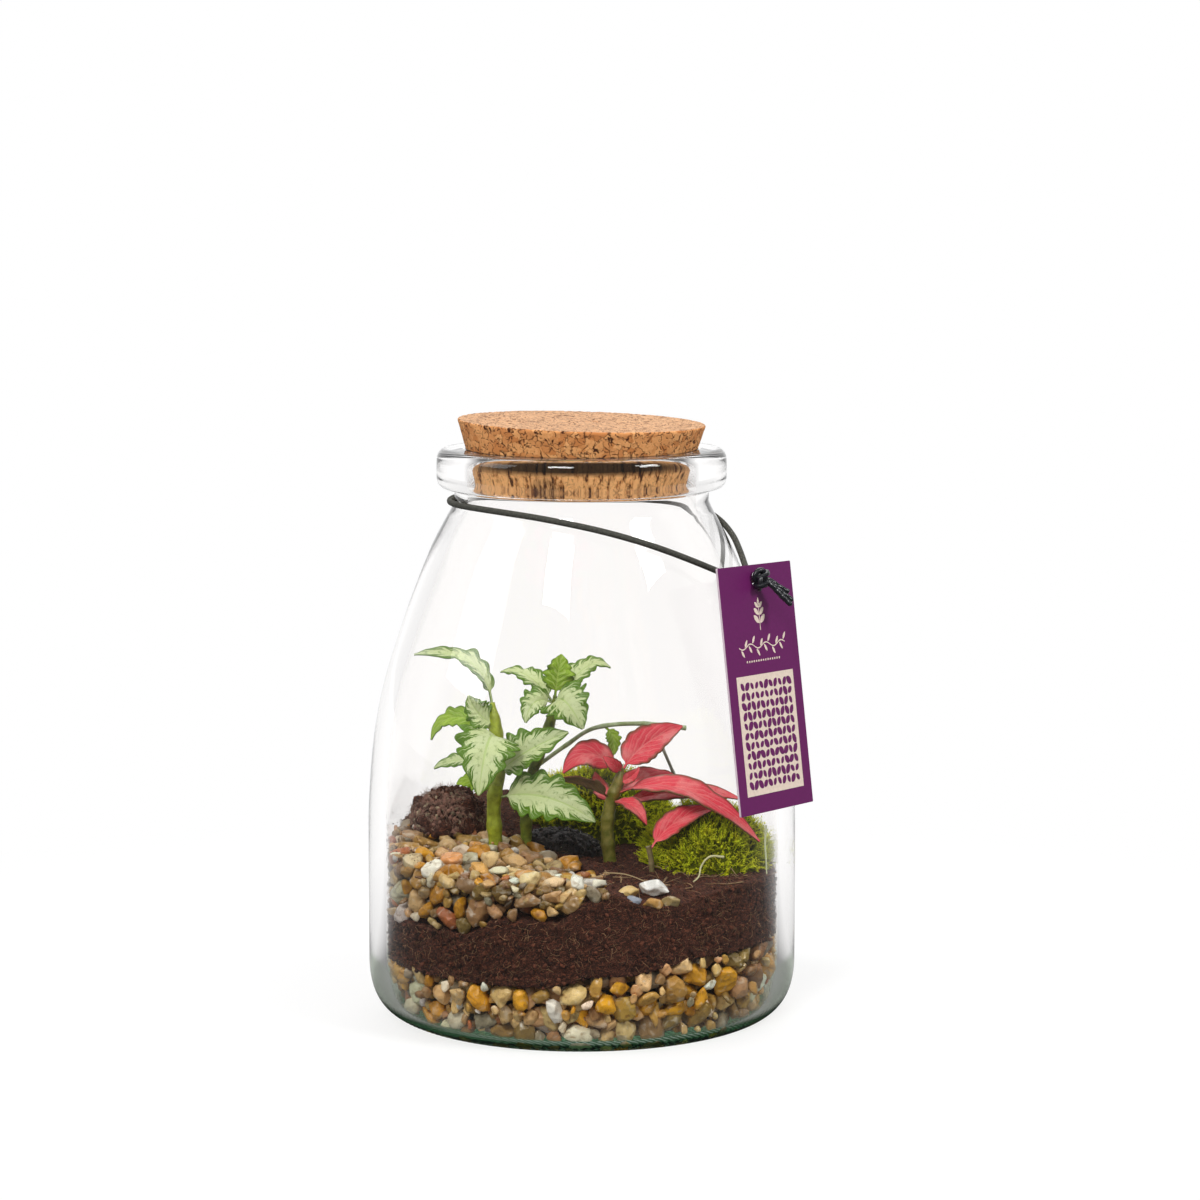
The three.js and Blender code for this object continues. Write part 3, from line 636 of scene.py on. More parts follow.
tag = {
    "width": 54, "height": 90, "thickness": 0.8, "corner": 0.5,
    "top": (62.7, -30.4, 173.3), "turn": (-8.2, 2.7, 58), "holeDrop": 5.6, "holeRadius": 3,
    "panel": (42, 43.5, 61.7), "cells": 11, "print": 0.05,
    "sprig": (-24, -14.5), "sprigLeaves": ((-21.6, 4.6), (-18.6, 4.0), (-15.9, 3.2)),
    "vine": -29.5, "vineWidth": 0.44, "dots": -35,
    "purple": (0.128, 0.014, 0.100, 1), "cream": (0.72, 0.60, 0.50, 1), "edge": (0.55, 0.44, 0.50, 1),
}


def tagMatrix():
    turn = Euler([math.radians(a) for a in tag["turn"]]).to_matrix().to_4x4()
    return Matrix.Translation(Vector(tag["top"]) * mm) @ turn @ Matrix.Scale(mm, 4)


def cardMaterial(name, color, roughness):
    material, tree, shader = newMaterial(name, Specular_IOR_Level=0.12)
    grain = addGrain(tree, Scale=900.0, Low=0.3, High=0.7, Bump=0.06, Depth=0.0001)
    worn = shaded(color, 1.18)
    feed(tree, shader, Base_Color=mixColor(tree, grain["Mask"], color, worn), Normal=grain["Normal"],
         Roughness=ranged(tree, grain["Mask"], 0, 1, roughness, roughness + 0.08))
    return material


# The card with its hole; its cut edges take the second material.
def cardBody():
    t = tag
    bm = bmesh.new()
    half, low, c = t["width"] / 2, -t["height"], t["corner"]
    corners = []
    for x, z, start in ((half - c, -c, 0), (c - half, -c, 90),
                        (c - half, low + c, 180), (half - c, low + c, 270)):
        for turn in (0, 30, 60, 90):
            a = math.radians(start + turn)
            corners.append((x + c * math.cos(a), z + c * math.sin(a)))
    hole = [(t["holeRadius"] * math.cos(a), -t["holeDrop"] + t["holeRadius"] * math.sin(a))
            for a in (2 * math.pi * i / 32 for i in range(32))]
    for loop in (corners, hole):
        verts = [bm.verts.new((x, -t["thickness"] / 2, z)) for x, z in loop]
        for pair in zip(verts, verts[1:] + verts[:1]):
            bm.edges.new(pair)
    bmesh.ops.triangle_fill(bm, edges=bm.edges, use_beauty=True)
    back = bmesh.ops.extrude_face_region(bm, geom=bm.faces[:])["geom"]
    bmesh.ops.translate(bm, verts=[v for v in back if isinstance(v, bmesh.types.BMVert)],
                        vec=(0, t["thickness"], 0))
    bmesh.ops.recalc_face_normals(bm, faces=bm.faces)
    for face in bm.faces:
        face.material_index = 1 if abs(face.normal.y) < 0.5 else 0
    bmesh.ops.transform(bm, matrix=tagMatrix(), verts=bm.verts)
    return bm


# A flat printed shape on the card's face, from points in the card's own frame.
def printShape(bm, outline, depth):
    face = tag["thickness"] / 2
    verts = [bm.verts.new((x, -face - depth, z)) for x, z in outline]
    made = bm.faces.new(verts)
    back = bmesh.ops.extrude_face_region(bm, geom=[made])["geom"]
    moved = [item for item in back if isinstance(item, bmesh.types.BMVert)]
    bmesh.ops.translate(bm, verts=moved, vec=(0, depth + 0.02, 0))
    bmesh.ops.recalc_face_normals(bm, faces=list({f for v in verts + moved for f in v.link_faces}))


def leafOutline(x, z, long, wide, turn):
    outline = []
    for i in range(12):
        a = 2 * math.pi * i / 12
        along = math.cos(a) * long / 2
        across = math.copysign(abs(math.sin(a)) ** 1.4, math.sin(a)) * wide / 2
        outline.append((x + along * math.cos(turn) - across * math.sin(turn),
                        z + along * math.sin(turn) + across * math.cos(turn)))
    return outline


# A cream panel, and on it a lattice of small leaves in the card's purple.
def printPanel(light, dark):
    wide, tall, middle = tag["panel"]
    count = tag["cells"]
    low, high = -middle - tall / 2, -middle + tall / 2
    corners = [(-wide / 2, low), (wide / 2, low), (wide / 2, high), (-wide / 2, high)]
    printShape(light, corners, tag["print"])
    draw = random.Random(5)
    step = (wide - 4) / count
    for row in range(count):
        for column in range(count):
            x = (column - (count - 1) / 2) * step
            z = -middle + (row - (count - 1) / 2) * (tall - 4) / count
            turn = math.radians(45 if (row + column) % 2 else -45) + draw.uniform(-0.2, 0.2)
            size = draw.uniform(0.85, 1.25)
            printShape(dark, leafOutline(x, z, step * size, step * 0.66 * size, turn), tag["print"] * 2)


def printSprig(light):
    foot, top = tag["sprig"]
    printShape(light, [(-0.2, foot), (0.2, foot), (0.15, top), (-0.15, top)], tag["print"])
    for z, long in tag["sprigLeaves"]:
        for side in (-1, 1):
            a = math.radians(90 - side * 52)
            x, up = 0.6 * long * math.cos(a), 0.6 * long * math.sin(a)
            printShape(light, leafOutline(x, z + up, long, long * 0.46, a), tag["print"])
    printShape(light, leafOutline(0, top + 0.9, 3.0, 1.3, math.radians(90)), tag["print"])


# A leafy vine across the card, and a line of dots under it.
def printVine(light):
    def vineAt(x):
        return tag["vine"] + 0.9 * math.sin(0.55 * x)

    half = tag["vineWidth"] / 2
    places = [-17 + 0.85 * i for i in range(41)]
    for x, onward in zip(places, places[1:]):
        here, there = vineAt(x), vineAt(onward)
        printShape(light, [(x, here - half), (onward, there - half), (onward, there + half),
                           (x, here + half)], tag["print"])
    for i in range(12):
        x, side = -15.6 + 2.85 * i, 1 if i % 2 else -1
        turn = side * math.radians(52)
        printShape(light, leafOutline(x + 1.1, vineAt(x) + side * 1.75, 3.3, 1.25, turn), tag["print"])
    for i in range(15):
        printShape(light, leafOutline(1.7 * (i - 7), tag["dots"], 1.0, 0.8, 0.6), tag["print"])


def makeTag():
    purple = cardMaterial("cardPurple", tag["purple"], 0.32)
    cream = cardMaterial("cardCream", tag["cream"], 0.42)
    edge = cardMaterial("cardEdge", tag["edge"], 0.6)
    light, dark = bmesh.new(), bmesh.new()
    printPanel(light, dark)
    printSprig(light)
    printVine(light)
    pieces = [addPiece("hangTag", cardBody(), "tag_card", [purple, edge], "hang_tag")]
    for name, bm, material in (("tagCreamPrint", light, cream), ("tagLeafPrint", dark, purple)):
        bmesh.ops.transform(bm, matrix=tagMatrix(), verts=bm.verts)
        pieces.append(addPiece(name, bm, "tag_card", [material]))
    for piece in pieces:
        piece.data.shade_flat()


knot = {
    "across": -1.0, "lift": 2.3, "strand": 0.95, "color": (0.012, 0.013, 0.016, 1),
    "loop": (2.1, 0.95), "loopLength": 26, "wrapLength": 14,
    "tails": [(11.4, -1.4, -9.4), (11.9, 0.5, -8.0), (10.6, 2.9, -5.2)],
}


def knotMaterial():
    material, tree, shader = newMaterial("waxedBraid", Base_Color=knot["color"], Roughness=0.33,
                                         Specular_IOR_Level=0.6)
    feed(tree, shader, Normal=addGrain(tree, Scale=2600.0, Bump=0.5, Depth=0.0001)["Normal"])
    return material


# The radius of a braided strand of a length in millimetres.
def braided(length):
    def radius(share, angle):
        along = share * length * 1.1
        braid = abs(math.sin(angle + along)) + abs(math.sin(angle - along))
        return knot["strand"] * (0.82 + 0.16 * braid)

    return radius


# An overhand knot that lies flat on the card, tied from a braided strand, with two tails.
def makeKnot():
    k = knot
    bm = bmesh.new()
    bm.loops.layers.uv.new("UVMap")
    back = tag["thickness"] / 2 + 0.3
    middle = Vector((k["across"], -k["lift"] - back, -tag["holeDrop"]))
    loop = []
    for i in range(96):
        a = 2 * math.pi * i / 96
        wide = k["loop"][0] + k["loop"][1] * math.cos(3 * a)
        loop.append(middle + Vector((wide * math.cos(2 * a) * 0.95, 1.2 * math.sin(3 * a),
                                     wide * math.sin(2 * a) * 1.18)))
    sweep(bm, loop + loop[:1], braided(k["loopLength"]), 16)
    for side in (-1, 1):  # two wraps across the loop
        wrap = [middle + Vector((math.cos(a) * 2.3 + side * 0.5, math.sin(a) * 2.0 - 0.4,
                                 side * 1.6 + 0.9 * math.cos(a)))
                for a in (2 * math.pi * i / 40 for i in range(41))]
        sweep(bm, wrap, braided(k["wrapLength"]), 16)
    matrix = tagMatrix()
    bmesh.ops.transform(bm, matrix=matrix, verts=bm.verts)
    world = matrix @ middle
    for tail in k["tails"]:
        end = Vector(tail) * mm
        line = smoothLine([world, world + end * 0.3 + Vector((0, 0, 1.2 * mm)),
                           world + end * 0.65 + Vector((0, 0, 0.4 * mm)), world + end], 56)
        strand = braided(end.length / mm)

        def tapered(share, angle):
            return strand(share, angle) * mm * (1 - 0.75 * ease(0.965, 1.0, share))

        sweep(bm, line, tapered, 14)
    return addPiece("cordKnot", bm, "cord_fibre", [knotMaterial()], "cord_knot")


bed = {
    "radius": 73.3, "level": 57.5,
    # what the ground drops or rises by, and where that starts and ends: across is from left to right, and
    # depth from the middle to the front
    "dip": 3.4, "dipAcross": (12, 24), "dipDepth": (-50, -66),
    "bank": 2.6, "bankAcross": (20, 6), "bankDepth": (-20, -64),
    "leftRise": 9, "backRise": 0.1, "leftAcross": (8, -38), "wallRise": 1.5, "wallAcross": (-40, -74),
    "gravelLeft": 24.5, "gravelMiddle": 4, "middleAcross": (-12, 4), "gravelRight": 4.5,
    "rightAcross": (10, 45), "layerGap": 0.6,
    "pocketCorners": [(8, -80), (8, -28), (-10, -4), (-40, 14), (-80, 14)],
    "pocketFloor": 43, "pocketMiddle": 7, "pocketMiddleAcross": (-42, -28), "pocketRight": 7.5,
    "pocketRightAcross": (-9, 3), "pocketCover": 2.5, "pocketEdge": (-0.8, 1.8), "heapReach": 71.6,
}


def groundTop(x, y):
    b = bed
    dip = b["dip"] * ease(*b["dipDepth"], y) * ease(*b["dipAcross"], x)
    bank = b["bank"] * ease(*b["bankDepth"], y) * ease(*b["bankAcross"], x)
    left = (b["leftRise"] + b["backRise"] * y) * ease(*b["leftAcross"], x)
    return b["level"] - dip + bank + left + b["wallRise"] * ease(*b["wallAcross"], x)


def gravelLine(x):
    b = bed
    return (b["gravelLeft"] + b["gravelMiddle"] * ease(*b["middleAcross"], x)
            + b["gravelRight"] * ease(*b["rightAcross"], x))


def jarFloor(far):
    reach = min(1, max(0, far - jar["floorRadius"]) / (jar["innerRadius"] - jar["floorRadius"]))
    return jar["floorHeight"] + (jar["innerHeel"] - jar["floorHeight"]) * (1 - math.sqrt(1 - reach ** 2))


def pocketFloor(x, y):
    b = bed
    floor = (b["pocketFloor"] + b["pocketMiddle"] * ease(*b["pocketMiddleAcross"], x)
             + b["pocketRight"] * ease(*b["pocketRightAcross"], x))
    return min(floor, groundTop(x, y) - b["pocketCover"])


# How far a point lies inside the gravel pocket's straight sides.
def pocketDepth(x, y):
    depth = 99
    corners = bed["pocketCorners"]
    for (ax, ay), (bx, by) in zip(corners, corners[1:]):
        long = math.hypot(bx - ax, by - ay)
        depth = min(depth, ((ax - x) * (by - ay) + (ay - y) * (ax - bx)) / long)
    return depth


stones = {
    "shapes": 14,
    "sizes": [(4.6, 26), (4.0, 60), (3.4, 130), (2.8, 260), (2.2, 420), (1.6, 420)],  # half-size, tries
    # each layer further in is darkened as painted shade, and the lower and upper bands of stones are
    # brightened or darkened as painted light
    "spacing": 0.83, "cell": 9.5, "layerDepth": 4.6, "layerPaintedShade": 0.85,
    "lowerPaintedLight": 1.3, "lowerHeights": (5, 36), "coreRadius": 62, "paintedCoreShade": (0.035, 0.025, 0.015, 1.0),
    "upperPaintedLight": 0.88, "upperHeights": (41, 72), "pocketBox": ((-73, 8), (-73, 14)), "pocketArea": 6400,
    "known": [  # large ones that stand out on the open top: place, half-size, colour
        (-18.5, -60, 4.2, (0.78, 0.60, 0.30)), (-9.5, -62, 3.9, (0.80, 0.56, 0.32)),
        (-1.5, -64, 3.6, (0.82, 0.78, 0.68)), (5.5, -61, 3.2, (0.80, 0.74, 0.60)),
        (-52, -46, 4.4, (0.84, 0.78, 0.66)), (-36, -50, 3.6, (0.66, 0.34, 0.08)),
        (-20, -52, 3.6, (0.62, 0.30, 0.08)), (-47, -34, 3.8, (0.70, 0.30, 0.10)),
        (-33, -38, 4.2, (0.72, 0.50, 0.24)), (-60, -36, 3.6, (0.60, 0.46, 0.26)),
    ],
    "colors": [  # share, linear colour
        (24, (0.63, 0.41, 0.17)), (9, (0.74, 0.63, 0.45)), (17, (0.50, 0.27, 0.055)),
        (10, (0.62, 0.27, 0.013)), (3, (0.42, 0.13, 0.035)), (13, (0.34, 0.175, 0.065)),
        (7, (0.28, 0.22, 0.14)), (9, (0.25, 0.145, 0.035)), (9, (0.60, 0.33, 0.14)),
        (3, (0.84, 0.79, 0.70)),
    ],
    "veinScale": 330.0, "veinShade": (0.42, 0.30, 0.20, 1), "veinPale": (0.85, 0.78, 0.68, 1),
    "speckScale": 2100.0, "speck": (0.03, 0.02, 0.012, 1), "facetScale": 300.0, "roughness": (0.16, 0.5),
}


# Low-poly pebbles, some rounded and some with broken faces.
def pebbleShapes(count, seed, cuts=2, tint=True):
    draw = random.Random(seed)
    shapes = []
    for _ in range(count):
        bm = tinted() if tint else bmesh.new()
        bmesh.ops.create_cube(bm, size=2)
        bmesh.ops.subdivide_edges(bm, edges=bm.edges[:], cuts=cuts, use_grid_fill=True)
        offset = Vector([draw.uniform(-50, 50) for _ in range(3)])
        chips = [(randomWay(draw), draw.uniform(0.46, 0.82)) for _ in range(draw.randint(5, 10))]
        for vert in bm.verts:
            point = vert.co.normalized()
            point *= 1.06 + 0.34 * noise.noise(point * 1.2 + offset)
            for way, reach in chips:
                over = point.dot(way) - reach
                if over > 0:
                    point -= way * over * 0.92
            vert.co = point
        shapes.append(shapeOf(bm))
    return shapes


def stoneMaterial(name, tint=None):
    s = stones
    material, tree, shader = newMaterial(name, Specular_IOR_Level=0.35)
    color = tintOf(tree)["Color"] if tint is None else tint
    place = ownPlace(tree)
    veins = noiseOf(tree, place, s["veinScale"], 5.0, Distortion=0.8)
    darker = mixColor(tree, 1.0, color, s["veinShade"], "MULTIPLY")
    paler = mixColor(tree, 0.45, color, s["veinPale"])
    body = mixColor(tree, ranged(tree, veins, 0.56, 0.72, 0, 0.8), color, darker)
    body = mixColor(tree, ranged(tree, veins, 0.44, 0.32, 0, 0.7), body, paler)
    specks = noiseOf(tree, place, s["speckScale"])
    body = mixColor(tree, ranged(tree, specks, 0.66, 0.74, 0, 0.75), body, s["speck"])
    facets = addNode(tree, "TexVoronoi", {"Vector": place, "Scale": s["facetScale"]}).outputs["Distance"]
    chipped = bumpOf(tree, facets, 0.7, 0.0016)
    feed(tree, shader, Base_Color=body, Roughness=ranged(tree, veins, 0.3, 0.7, *s["roughness"]),
         Normal=bumpOf(tree, specks, 0.25, 0.00025, chipped))
    return material


def pickColor(draw):
    roll = draw.uniform(0, sum(share for share, _ in stones["colors"]))
    for share, color in stones["colors"]:
        roll -= share
        if roll <= 0:
            break
    light = draw.uniform(0.62, 1.08)
    return tuple(min(0.95, c * light * draw.uniform(0.93, 1.07)) for c in color) + (1.0,)


# Scatters stones over a flat field without gaps, the large ones first: (u, v, half-size).
def scatter(draw, area, place, wanted, first=()):
    cell, cells, found = stones["cell"], {}, []
    for u, v, size in first:
        cells.setdefault((int(u // cell), int(v // cell)), []).append((u, v, size))
    for half, tries in stones["sizes"]:
        for _ in range(int(tries * area / 1000)):
            u, v = place(draw)
            size = half * draw.uniform(0.9, 1.12)
            column, row = int(u // cell), int(v // cell)
            near = [other for i in (-1, 0, 1) for j in (-1, 0, 1)
                    for other in cells.get((column + i, row + j), ())]
            if any(math.hypot(u - a, v - b) < stones["spacing"] * (size + c) for a, b, c in near):
                continue
            if wanted(u, v, size):
                cells.setdefault((column, row), []).append((u, v, size))
                found.append((u, v, size))
    return found


# dark scales the stone's colour: painted light or painted shade for where the stone lies
def placeStone(bm, draw, shapes, spot, aim, size, dark, color=None):
    long = draw.uniform(1.0, 1.32)
    half = Vector((size * long, size / long * 1.02, size * draw.uniform(0.55, 0.8)))
    tip = lean(draw, 0.25)
    color = color or pickColor(draw)
    strew(bm, draw, shapes, spot, half, shaded(color, dark), aim @ tip)


# Layers of stones against the jar's wall, between two heights given by the place; their colour is scaled by
# a painted light level, and painted shade darkens each layer further in.
def wallStones(bm, draw, shapes, layers, paintedLight, heights, lowAt, highAt, wanted):
    for layer in range(layers):
        far = bed["radius"] - stones["layerDepth"] * layer
        span = math.pi * far

        def spotOf(u):
            return far * math.cos(u / far), far * math.sin(u / far)

        def fits(u, height, size):
            x, y = spotOf(u)
            return wanted(x, y) and lowAt(x, y) + 0.45 * size < height < highAt(x, y) - 0.35 * size

        found = scatter(draw, 2 * span * (heights[1] - heights[0]),
                        lambda d: (d.uniform(-span, span), d.uniform(*heights)), fits)
        for u, height, size in found:
            out = Vector((*spotOf(u), 0)).normalized()
            inward = far - size * (0.6 if layer == 0 else draw.uniform(0.2, 0.6))
            heel = jarFloor(min(far, jar["innerRadius"] - 0.1)) - height
            if heel > -size * 0.4:  # near the floor the stones step back from the wall's curve
                inward -= heel + size * 0.4
            spot = out * inward + Vector((0, 0, height))
            aim = out.to_track_quat("Z", "Y")
            placeStone(bm, draw, shapes, spot, aim, size, paintedLight * stones["layerPaintedShade"] ** layer)


# A closed slab across the jar, with a fine top and wall, for the soil and hidden cores.
def slab(bm, radius, rings, rows, steps, bottomAt, topAt):
    profile = [(0, 0), (0.5, 0), (1, 0)] + [(1, (i + 1) / rows) for i in range(rows)]
    profile += [((rings - 1 - i) / rings, 1) for i in range(rings)]
    turned(bm, profile, steps)
    for vert in bm.verts:
        x, y = vert.co.x * radius, vert.co.y * radius
        low, high = bottomAt(x, y), topAt(x, y)
        vert.co = Vector((x, y, low + (high - low) * vert.co.z)) * mm


# Adds a plain bmesh to a tinted one in one colour.
def addTinted(bm, other, tint):
    mesh = bpy.data.meshes.new("core")
    other.to_mesh(mesh)
    other.free()
    mesh.attributes.new("tint", "FLOAT_COLOR", "POINT")
    stamp(bm, mesh, Matrix(), tint)


def makeDrainage(shapes, material):
    s = stones
    bm = tinted()
    wallStones(bm, random.Random(11), shapes, 3, s["lowerPaintedLight"], s["lowerHeights"],
               lambda x, y: jar["floorHeight"],
               lambda x, y: gravelLine(x) + 1.6 * noise.noise(Vector((x, y, 0)) * 0.11),
               lambda x, y: True)
    # a dark core inside the stones: painted shade that shows in the gaps between them
    core = bmesh.new()
    slab(core, s["coreRadius"], 3, 2, 48, lambda x, y: jar["floorHeight"] + 0.3,
         lambda x, y: gravelLine(x) - 1)
    addTinted(bm, core, s["paintedCoreShade"])
    addPiece("drainageStones", bm, "gravel_stone", [material], "drainage_gravel")


def makeUpperGravel(shapes, material):
    s = stones
    bm = tinted()
    draw = random.Random(21)

    def pocketTop(x, y):
        return groundTop(x, y) + 1.2 * noise.noise(Vector((x, y, 3)) * 0.14)

    def spotIn(draw):
        across, deep = s["pocketBox"]
        return draw.uniform(*across), draw.uniform(*deep)

    def fits(x, y, size):
        return pocketDepth(x, y) > -0.4 * size and math.hypot(x, y) < bed["radius"] - 0.9 * size

    wallStones(bm, draw, shapes, 2, s["upperPaintedLight"], s["upperHeights"], pocketFloor, pocketTop,
               lambda x, y: pocketDepth(x, y) > -1)
    for x, y, size, color in s["known"]:
        placeStone(bm, draw, shapes, Vector((x, y, pocketTop(x, y) + 0.2 * size)),
                   Euler((0.5, 0, 0)).to_quaternion(), size, 1.0, color)
    known = [stone[:3] for stone in s["known"]]
    # the stones that show below the open top are painted darker, as shade
    for drop, dark, taken in ((0.4, 1.0, known), (4.2, 0.8, ())):  # the open top, and what shows below it
        for x, y, size in scatter(draw, s["pocketArea"], spotIn, fits, taken):
            spot = Vector((x, y, pocketTop(x, y) - size * 0.25 - drop))
            placeStone(bm, draw, shapes, spot, Quaternion(), size, dark)
    addPiece("upperStones", bm, "gravel_stone", [material], "upper_gravel")


looseStones = [  # name, slot, place, half-sizes, turn, colour
    ("stone_white", "pebble_white", (26.5, -57.5, 59), (6.4, 3.8, 3.3), -8, (0.80, 0.77, 0.74)),
    ("stone_yellow", "pebble_yellow", (15.8, -60.5, 57.8), (4.6, 3.4, 2.9), 6, (0.62, 0.42, 0.16)),
    ("stone_grey", "pebble_grey", (18.2, -66, 56.2), (2.8, 2.2, 2.0), 20, (0.25, 0.27, 0.33)),
    ("stone_orange", "pebble_orange", (25, -66.3, 55.2), (3.6, 2.7, 2.7), 22, (0.50, 0.26, 0.07)),
    ("stone_olive", "pebble_olive", (31.8, -63.6, 55.2), (3.6, 2.7, 2.5), 27, (0.34, 0.24, 0.10)),
]


def makeLooseStones():
    shapes = pebbleShapes(len(looseStones), 61, cuts=7, tint=False)
    for shape, (name, slot, at, half, turn, color) in zip(shapes, looseStones):
        bm = bmesh.new()
        bm.from_mesh(shape)
        turn = Euler((0, 0, math.radians(turn))).to_quaternion()
        bmesh.ops.transform(bm, matrix=placed(Vector(at), turn, Vector(half)), verts=bm.verts)
        material = stoneMaterial(slot, color + (1,))
        piece = addPiece(name.replace("stone_", "pebble"), bm, slot, [material], name)
        smoother = piece.modifiers.new("rounded", "SUBSURF")
        smoother.levels = smoother.render_levels = 1


soil = {
    "rings": 66, "rows": 30, "steps": 400, "wallGap": 0.9,
    "crumbs": 3000, "crumbSizes": (0.3, 0.4, 0.5, 0.65, 0.9), "fibres": 3200,
    "longFibres": 46, "specks": 60,
    "dark": (0.010, 0.004, 0.003, 1), "brown": (0.060, 0.019, 0.011, 1), "rust": (0.22, 0.070, 0.038, 1),
    "fibre": (0.58, 0.32, 0.17), "longFibre": (0.62, 0.40, 0.22), "coarseScale": 520.0, "fineScale": 2300.0,
    "strands": [(0.5, 0.1, 0.4), (-0.6, 0.2, -0.3), (0.15, -0.3, 1.2)], "strandStretch": (210, 1900, 1900),
}


def soilMaterial():
    s = soil
    material, tree, shader = newMaterial("coirSoil", Roughness=0.9, Specular_IOR_Level=0.2)
    place = ownPlace(tree)
    coarse = noiseOf(tree, place, s["coarseScale"], 6.0, Roughness=0.8)
    fine = noiseOf(tree, place, s["fineScale"], 3.0)
    body = mixColor(tree, ranged(tree, coarse, 0.40, 0.60), s["dark"], s["brown"])
    body = mixColor(tree, ranged(tree, fine, 0.55, 0.68, 0, 0.8), body, s["rust"])
    for turn in s["strands"]:
        aimed = addNode(tree, "VectorRotate", {"Vector": place, "Rotation": turn},
                        rotation_type="EULER_XYZ").outputs[0]
        drawn = addNode(tree, "VectorMath", {0: aimed, 1: s["strandStretch"]}, operation="MULTIPLY")
        strand = noiseOf(tree, drawn.outputs[0], 1.0, 1.0)
        body = mixColor(tree, ranged(tree, strand, 0.64, 0.72, 0, 0.75), body, s["rust"])
    tint = tintOf(tree)
    body = mixColor(tree, tint["Alpha"], body, tint["Color"])
    relief = compute(tree, "ADD", coarse, compute(tree, "MULTIPLY", fine, 0.4))
    feed(tree, shader, Base_Color=body, Normal=bumpOf(tree, relief, 0.9, 0.0008))
    return material


def crumbShapes(count, seed):
    draw = random.Random(seed)
    shapes = []
    for _ in range(count):
        bm = tinted()
        bmesh.ops.create_icosphere(bm, subdivisions=1, radius=1)
        for vert in bm.verts:
            vert.co *= draw.uniform(0.6, 1.25)
        shapes.append(shapeOf(bm))
    return shapes


def fibreShapes(count, seed, thick):
    draw = random.Random(seed)
    shapes = []
    for _ in range(count):
        bm = tinted()
        bow, kink = draw.uniform(-0.3, 0.3), draw.uniform(-0.2, 0.2)
        line = smoothLine([(-0.5, 0, 0), (-0.15, bow, kink), (0.2, bow * 0.6, -kink), (0.5, 0, 0)], 5)
        sweep(bm, line, lambda share, angle: thick * (1 - 0.6 * share), 3)
        shapes.append(shapeOf(bm))
    return shapes


def soilTop(x, y):
    share = ease(*bed["pocketEdge"], pocketDepth(x, y))
    return groundTop(x, y) * (1 - share) + (pocketFloor(x, y) - bed["layerGap"]) * share


# Where crumbs and fibres lie: on the wall of the soil or on its open top.
def soilSpot(draw, onWall):
    angle = draw.uniform(0, 2 * math.pi)
    if onWall:
        x, y = bed["radius"] * math.cos(angle), bed["radius"] * math.sin(angle)
        low, high = gravelLine(x) + 0.5, soilTop(x, y) - 0.3
        return Vector((x * 0.995, y * 0.995, draw.uniform(low, high))), Vector((x, y, 0)).normalized()
    far = bed["radius"] * 0.985 * math.sqrt(draw.uniform(0, 1))
    x, y = far * math.cos(angle), far * math.sin(angle)
    return Vector((x, y, soilTop(x, y))), Vector((0, 0, 1))


def strewCrumbs(bm, draw, crumbs):
    for i in range(soil["crumbs"]):
        spot, way = soilSpot(draw, i % 2 == 0)
        size = draw.choice(soil["crumbSizes"])
        spot -= way * size * draw.uniform(0.0, 0.6)
        half = Vector([size * draw.uniform(0.7, 1.3) for _ in range(3)])
        light = draw.uniform(0.0, 1.0) ** 1.6
        color = tuple(a + (b - a) * light for a, b in zip(soil["dark"][:3], soil["rust"][:3]))
        strew(bm, draw, crumbs, spot, half, color + (0.75,))


def strewFibres(bm, draw, fibres):
    for i in range(soil["fibres"]):
        spot, way = soilSpot(draw, i % 3 > 0)
        turn = way.to_track_quat("Z", "Y") @ lean(draw, 0.2)
        long = draw.uniform(1.6, 4.5) if i % 6 else draw.uniform(5, 11)
        thick = draw.uniform(0.5, 1.1) * 5
        color = shaded(soil["fibre"], draw.uniform(0.1, 1.0) ** 1.5, 0.9)
        strew(bm, draw, fibres, spot - way * 0.15, Vector((long, thick, thick)), color, turn)


# Long tan fibres on the open top at the right.
def strewLongFibres(bm, draw, fibres):
    for _ in range(soil["longFibres"]):
        x, y = draw.uniform(6, 66), draw.uniform(-68, -18)
        if math.hypot(x, y) > bed["radius"] - 5:
            continue
        long = draw.uniform(6, 16)
        turn = lean(draw, 0.12, 0.16)
        spot = Vector((x, y, soilTop(x, y) + draw.uniform(0.2, 0.9)))
        color = shaded(soil["longFibre"], draw.uniform(0.4, 1.0))
        strew(bm, draw, fibres, spot, Vector((long, long, long * 0.9)), color, turn)


def makeSoil(material):
    s = soil
    body = bmesh.new()
    slab(body, bed["radius"] - s["wallGap"], s["rings"], s["rows"], s["steps"],
         lambda x, y: gravelLine(x) + bed["layerGap"], soilTop)
    body.normal_update()
    for vert in body.verts:
        point = vert.co / mm
        rough = noise.fractal(point * 0.55, 0.6, 2.1, 4) * 0.75 + 0.35 * noise.noise(point * 1.7)
        vert.co += vert.normal * max(-1.1, min(0.75, rough)) * mm
    bm = tinted()
    addTinted(bm, body, shaded(s["brown"], 1, 0.0))
    addPiece("soilBody", bm, "dark_soil", [material], "soil_bed")
    bm = tinted()
    draw = random.Random(31)
    crumbs = crumbShapes(8, 7)
    strewCrumbs(bm, draw, crumbs)
    fibres = fibreShapes(8, 9, 0.024)
    strewFibres(bm, draw, fibres)
    strewLongFibres(bm, draw, fibres)
    for _ in range(s["specks"]):  # on the glass above the mound
        angle = math.pi + draw.uniform(0.1, 0.8)
        far = bed["radius"] + 0.25
        spot = Vector((far * math.cos(angle), far * math.sin(angle), 66 + abs(draw.gauss(0, 7))))
        strew(bm, draw, crumbs, spot, draw.uniform(0.12, 0.34), shaded(s["brown"]))
    addPiece("soilCrumbs", bm, "dark_soil", [material])


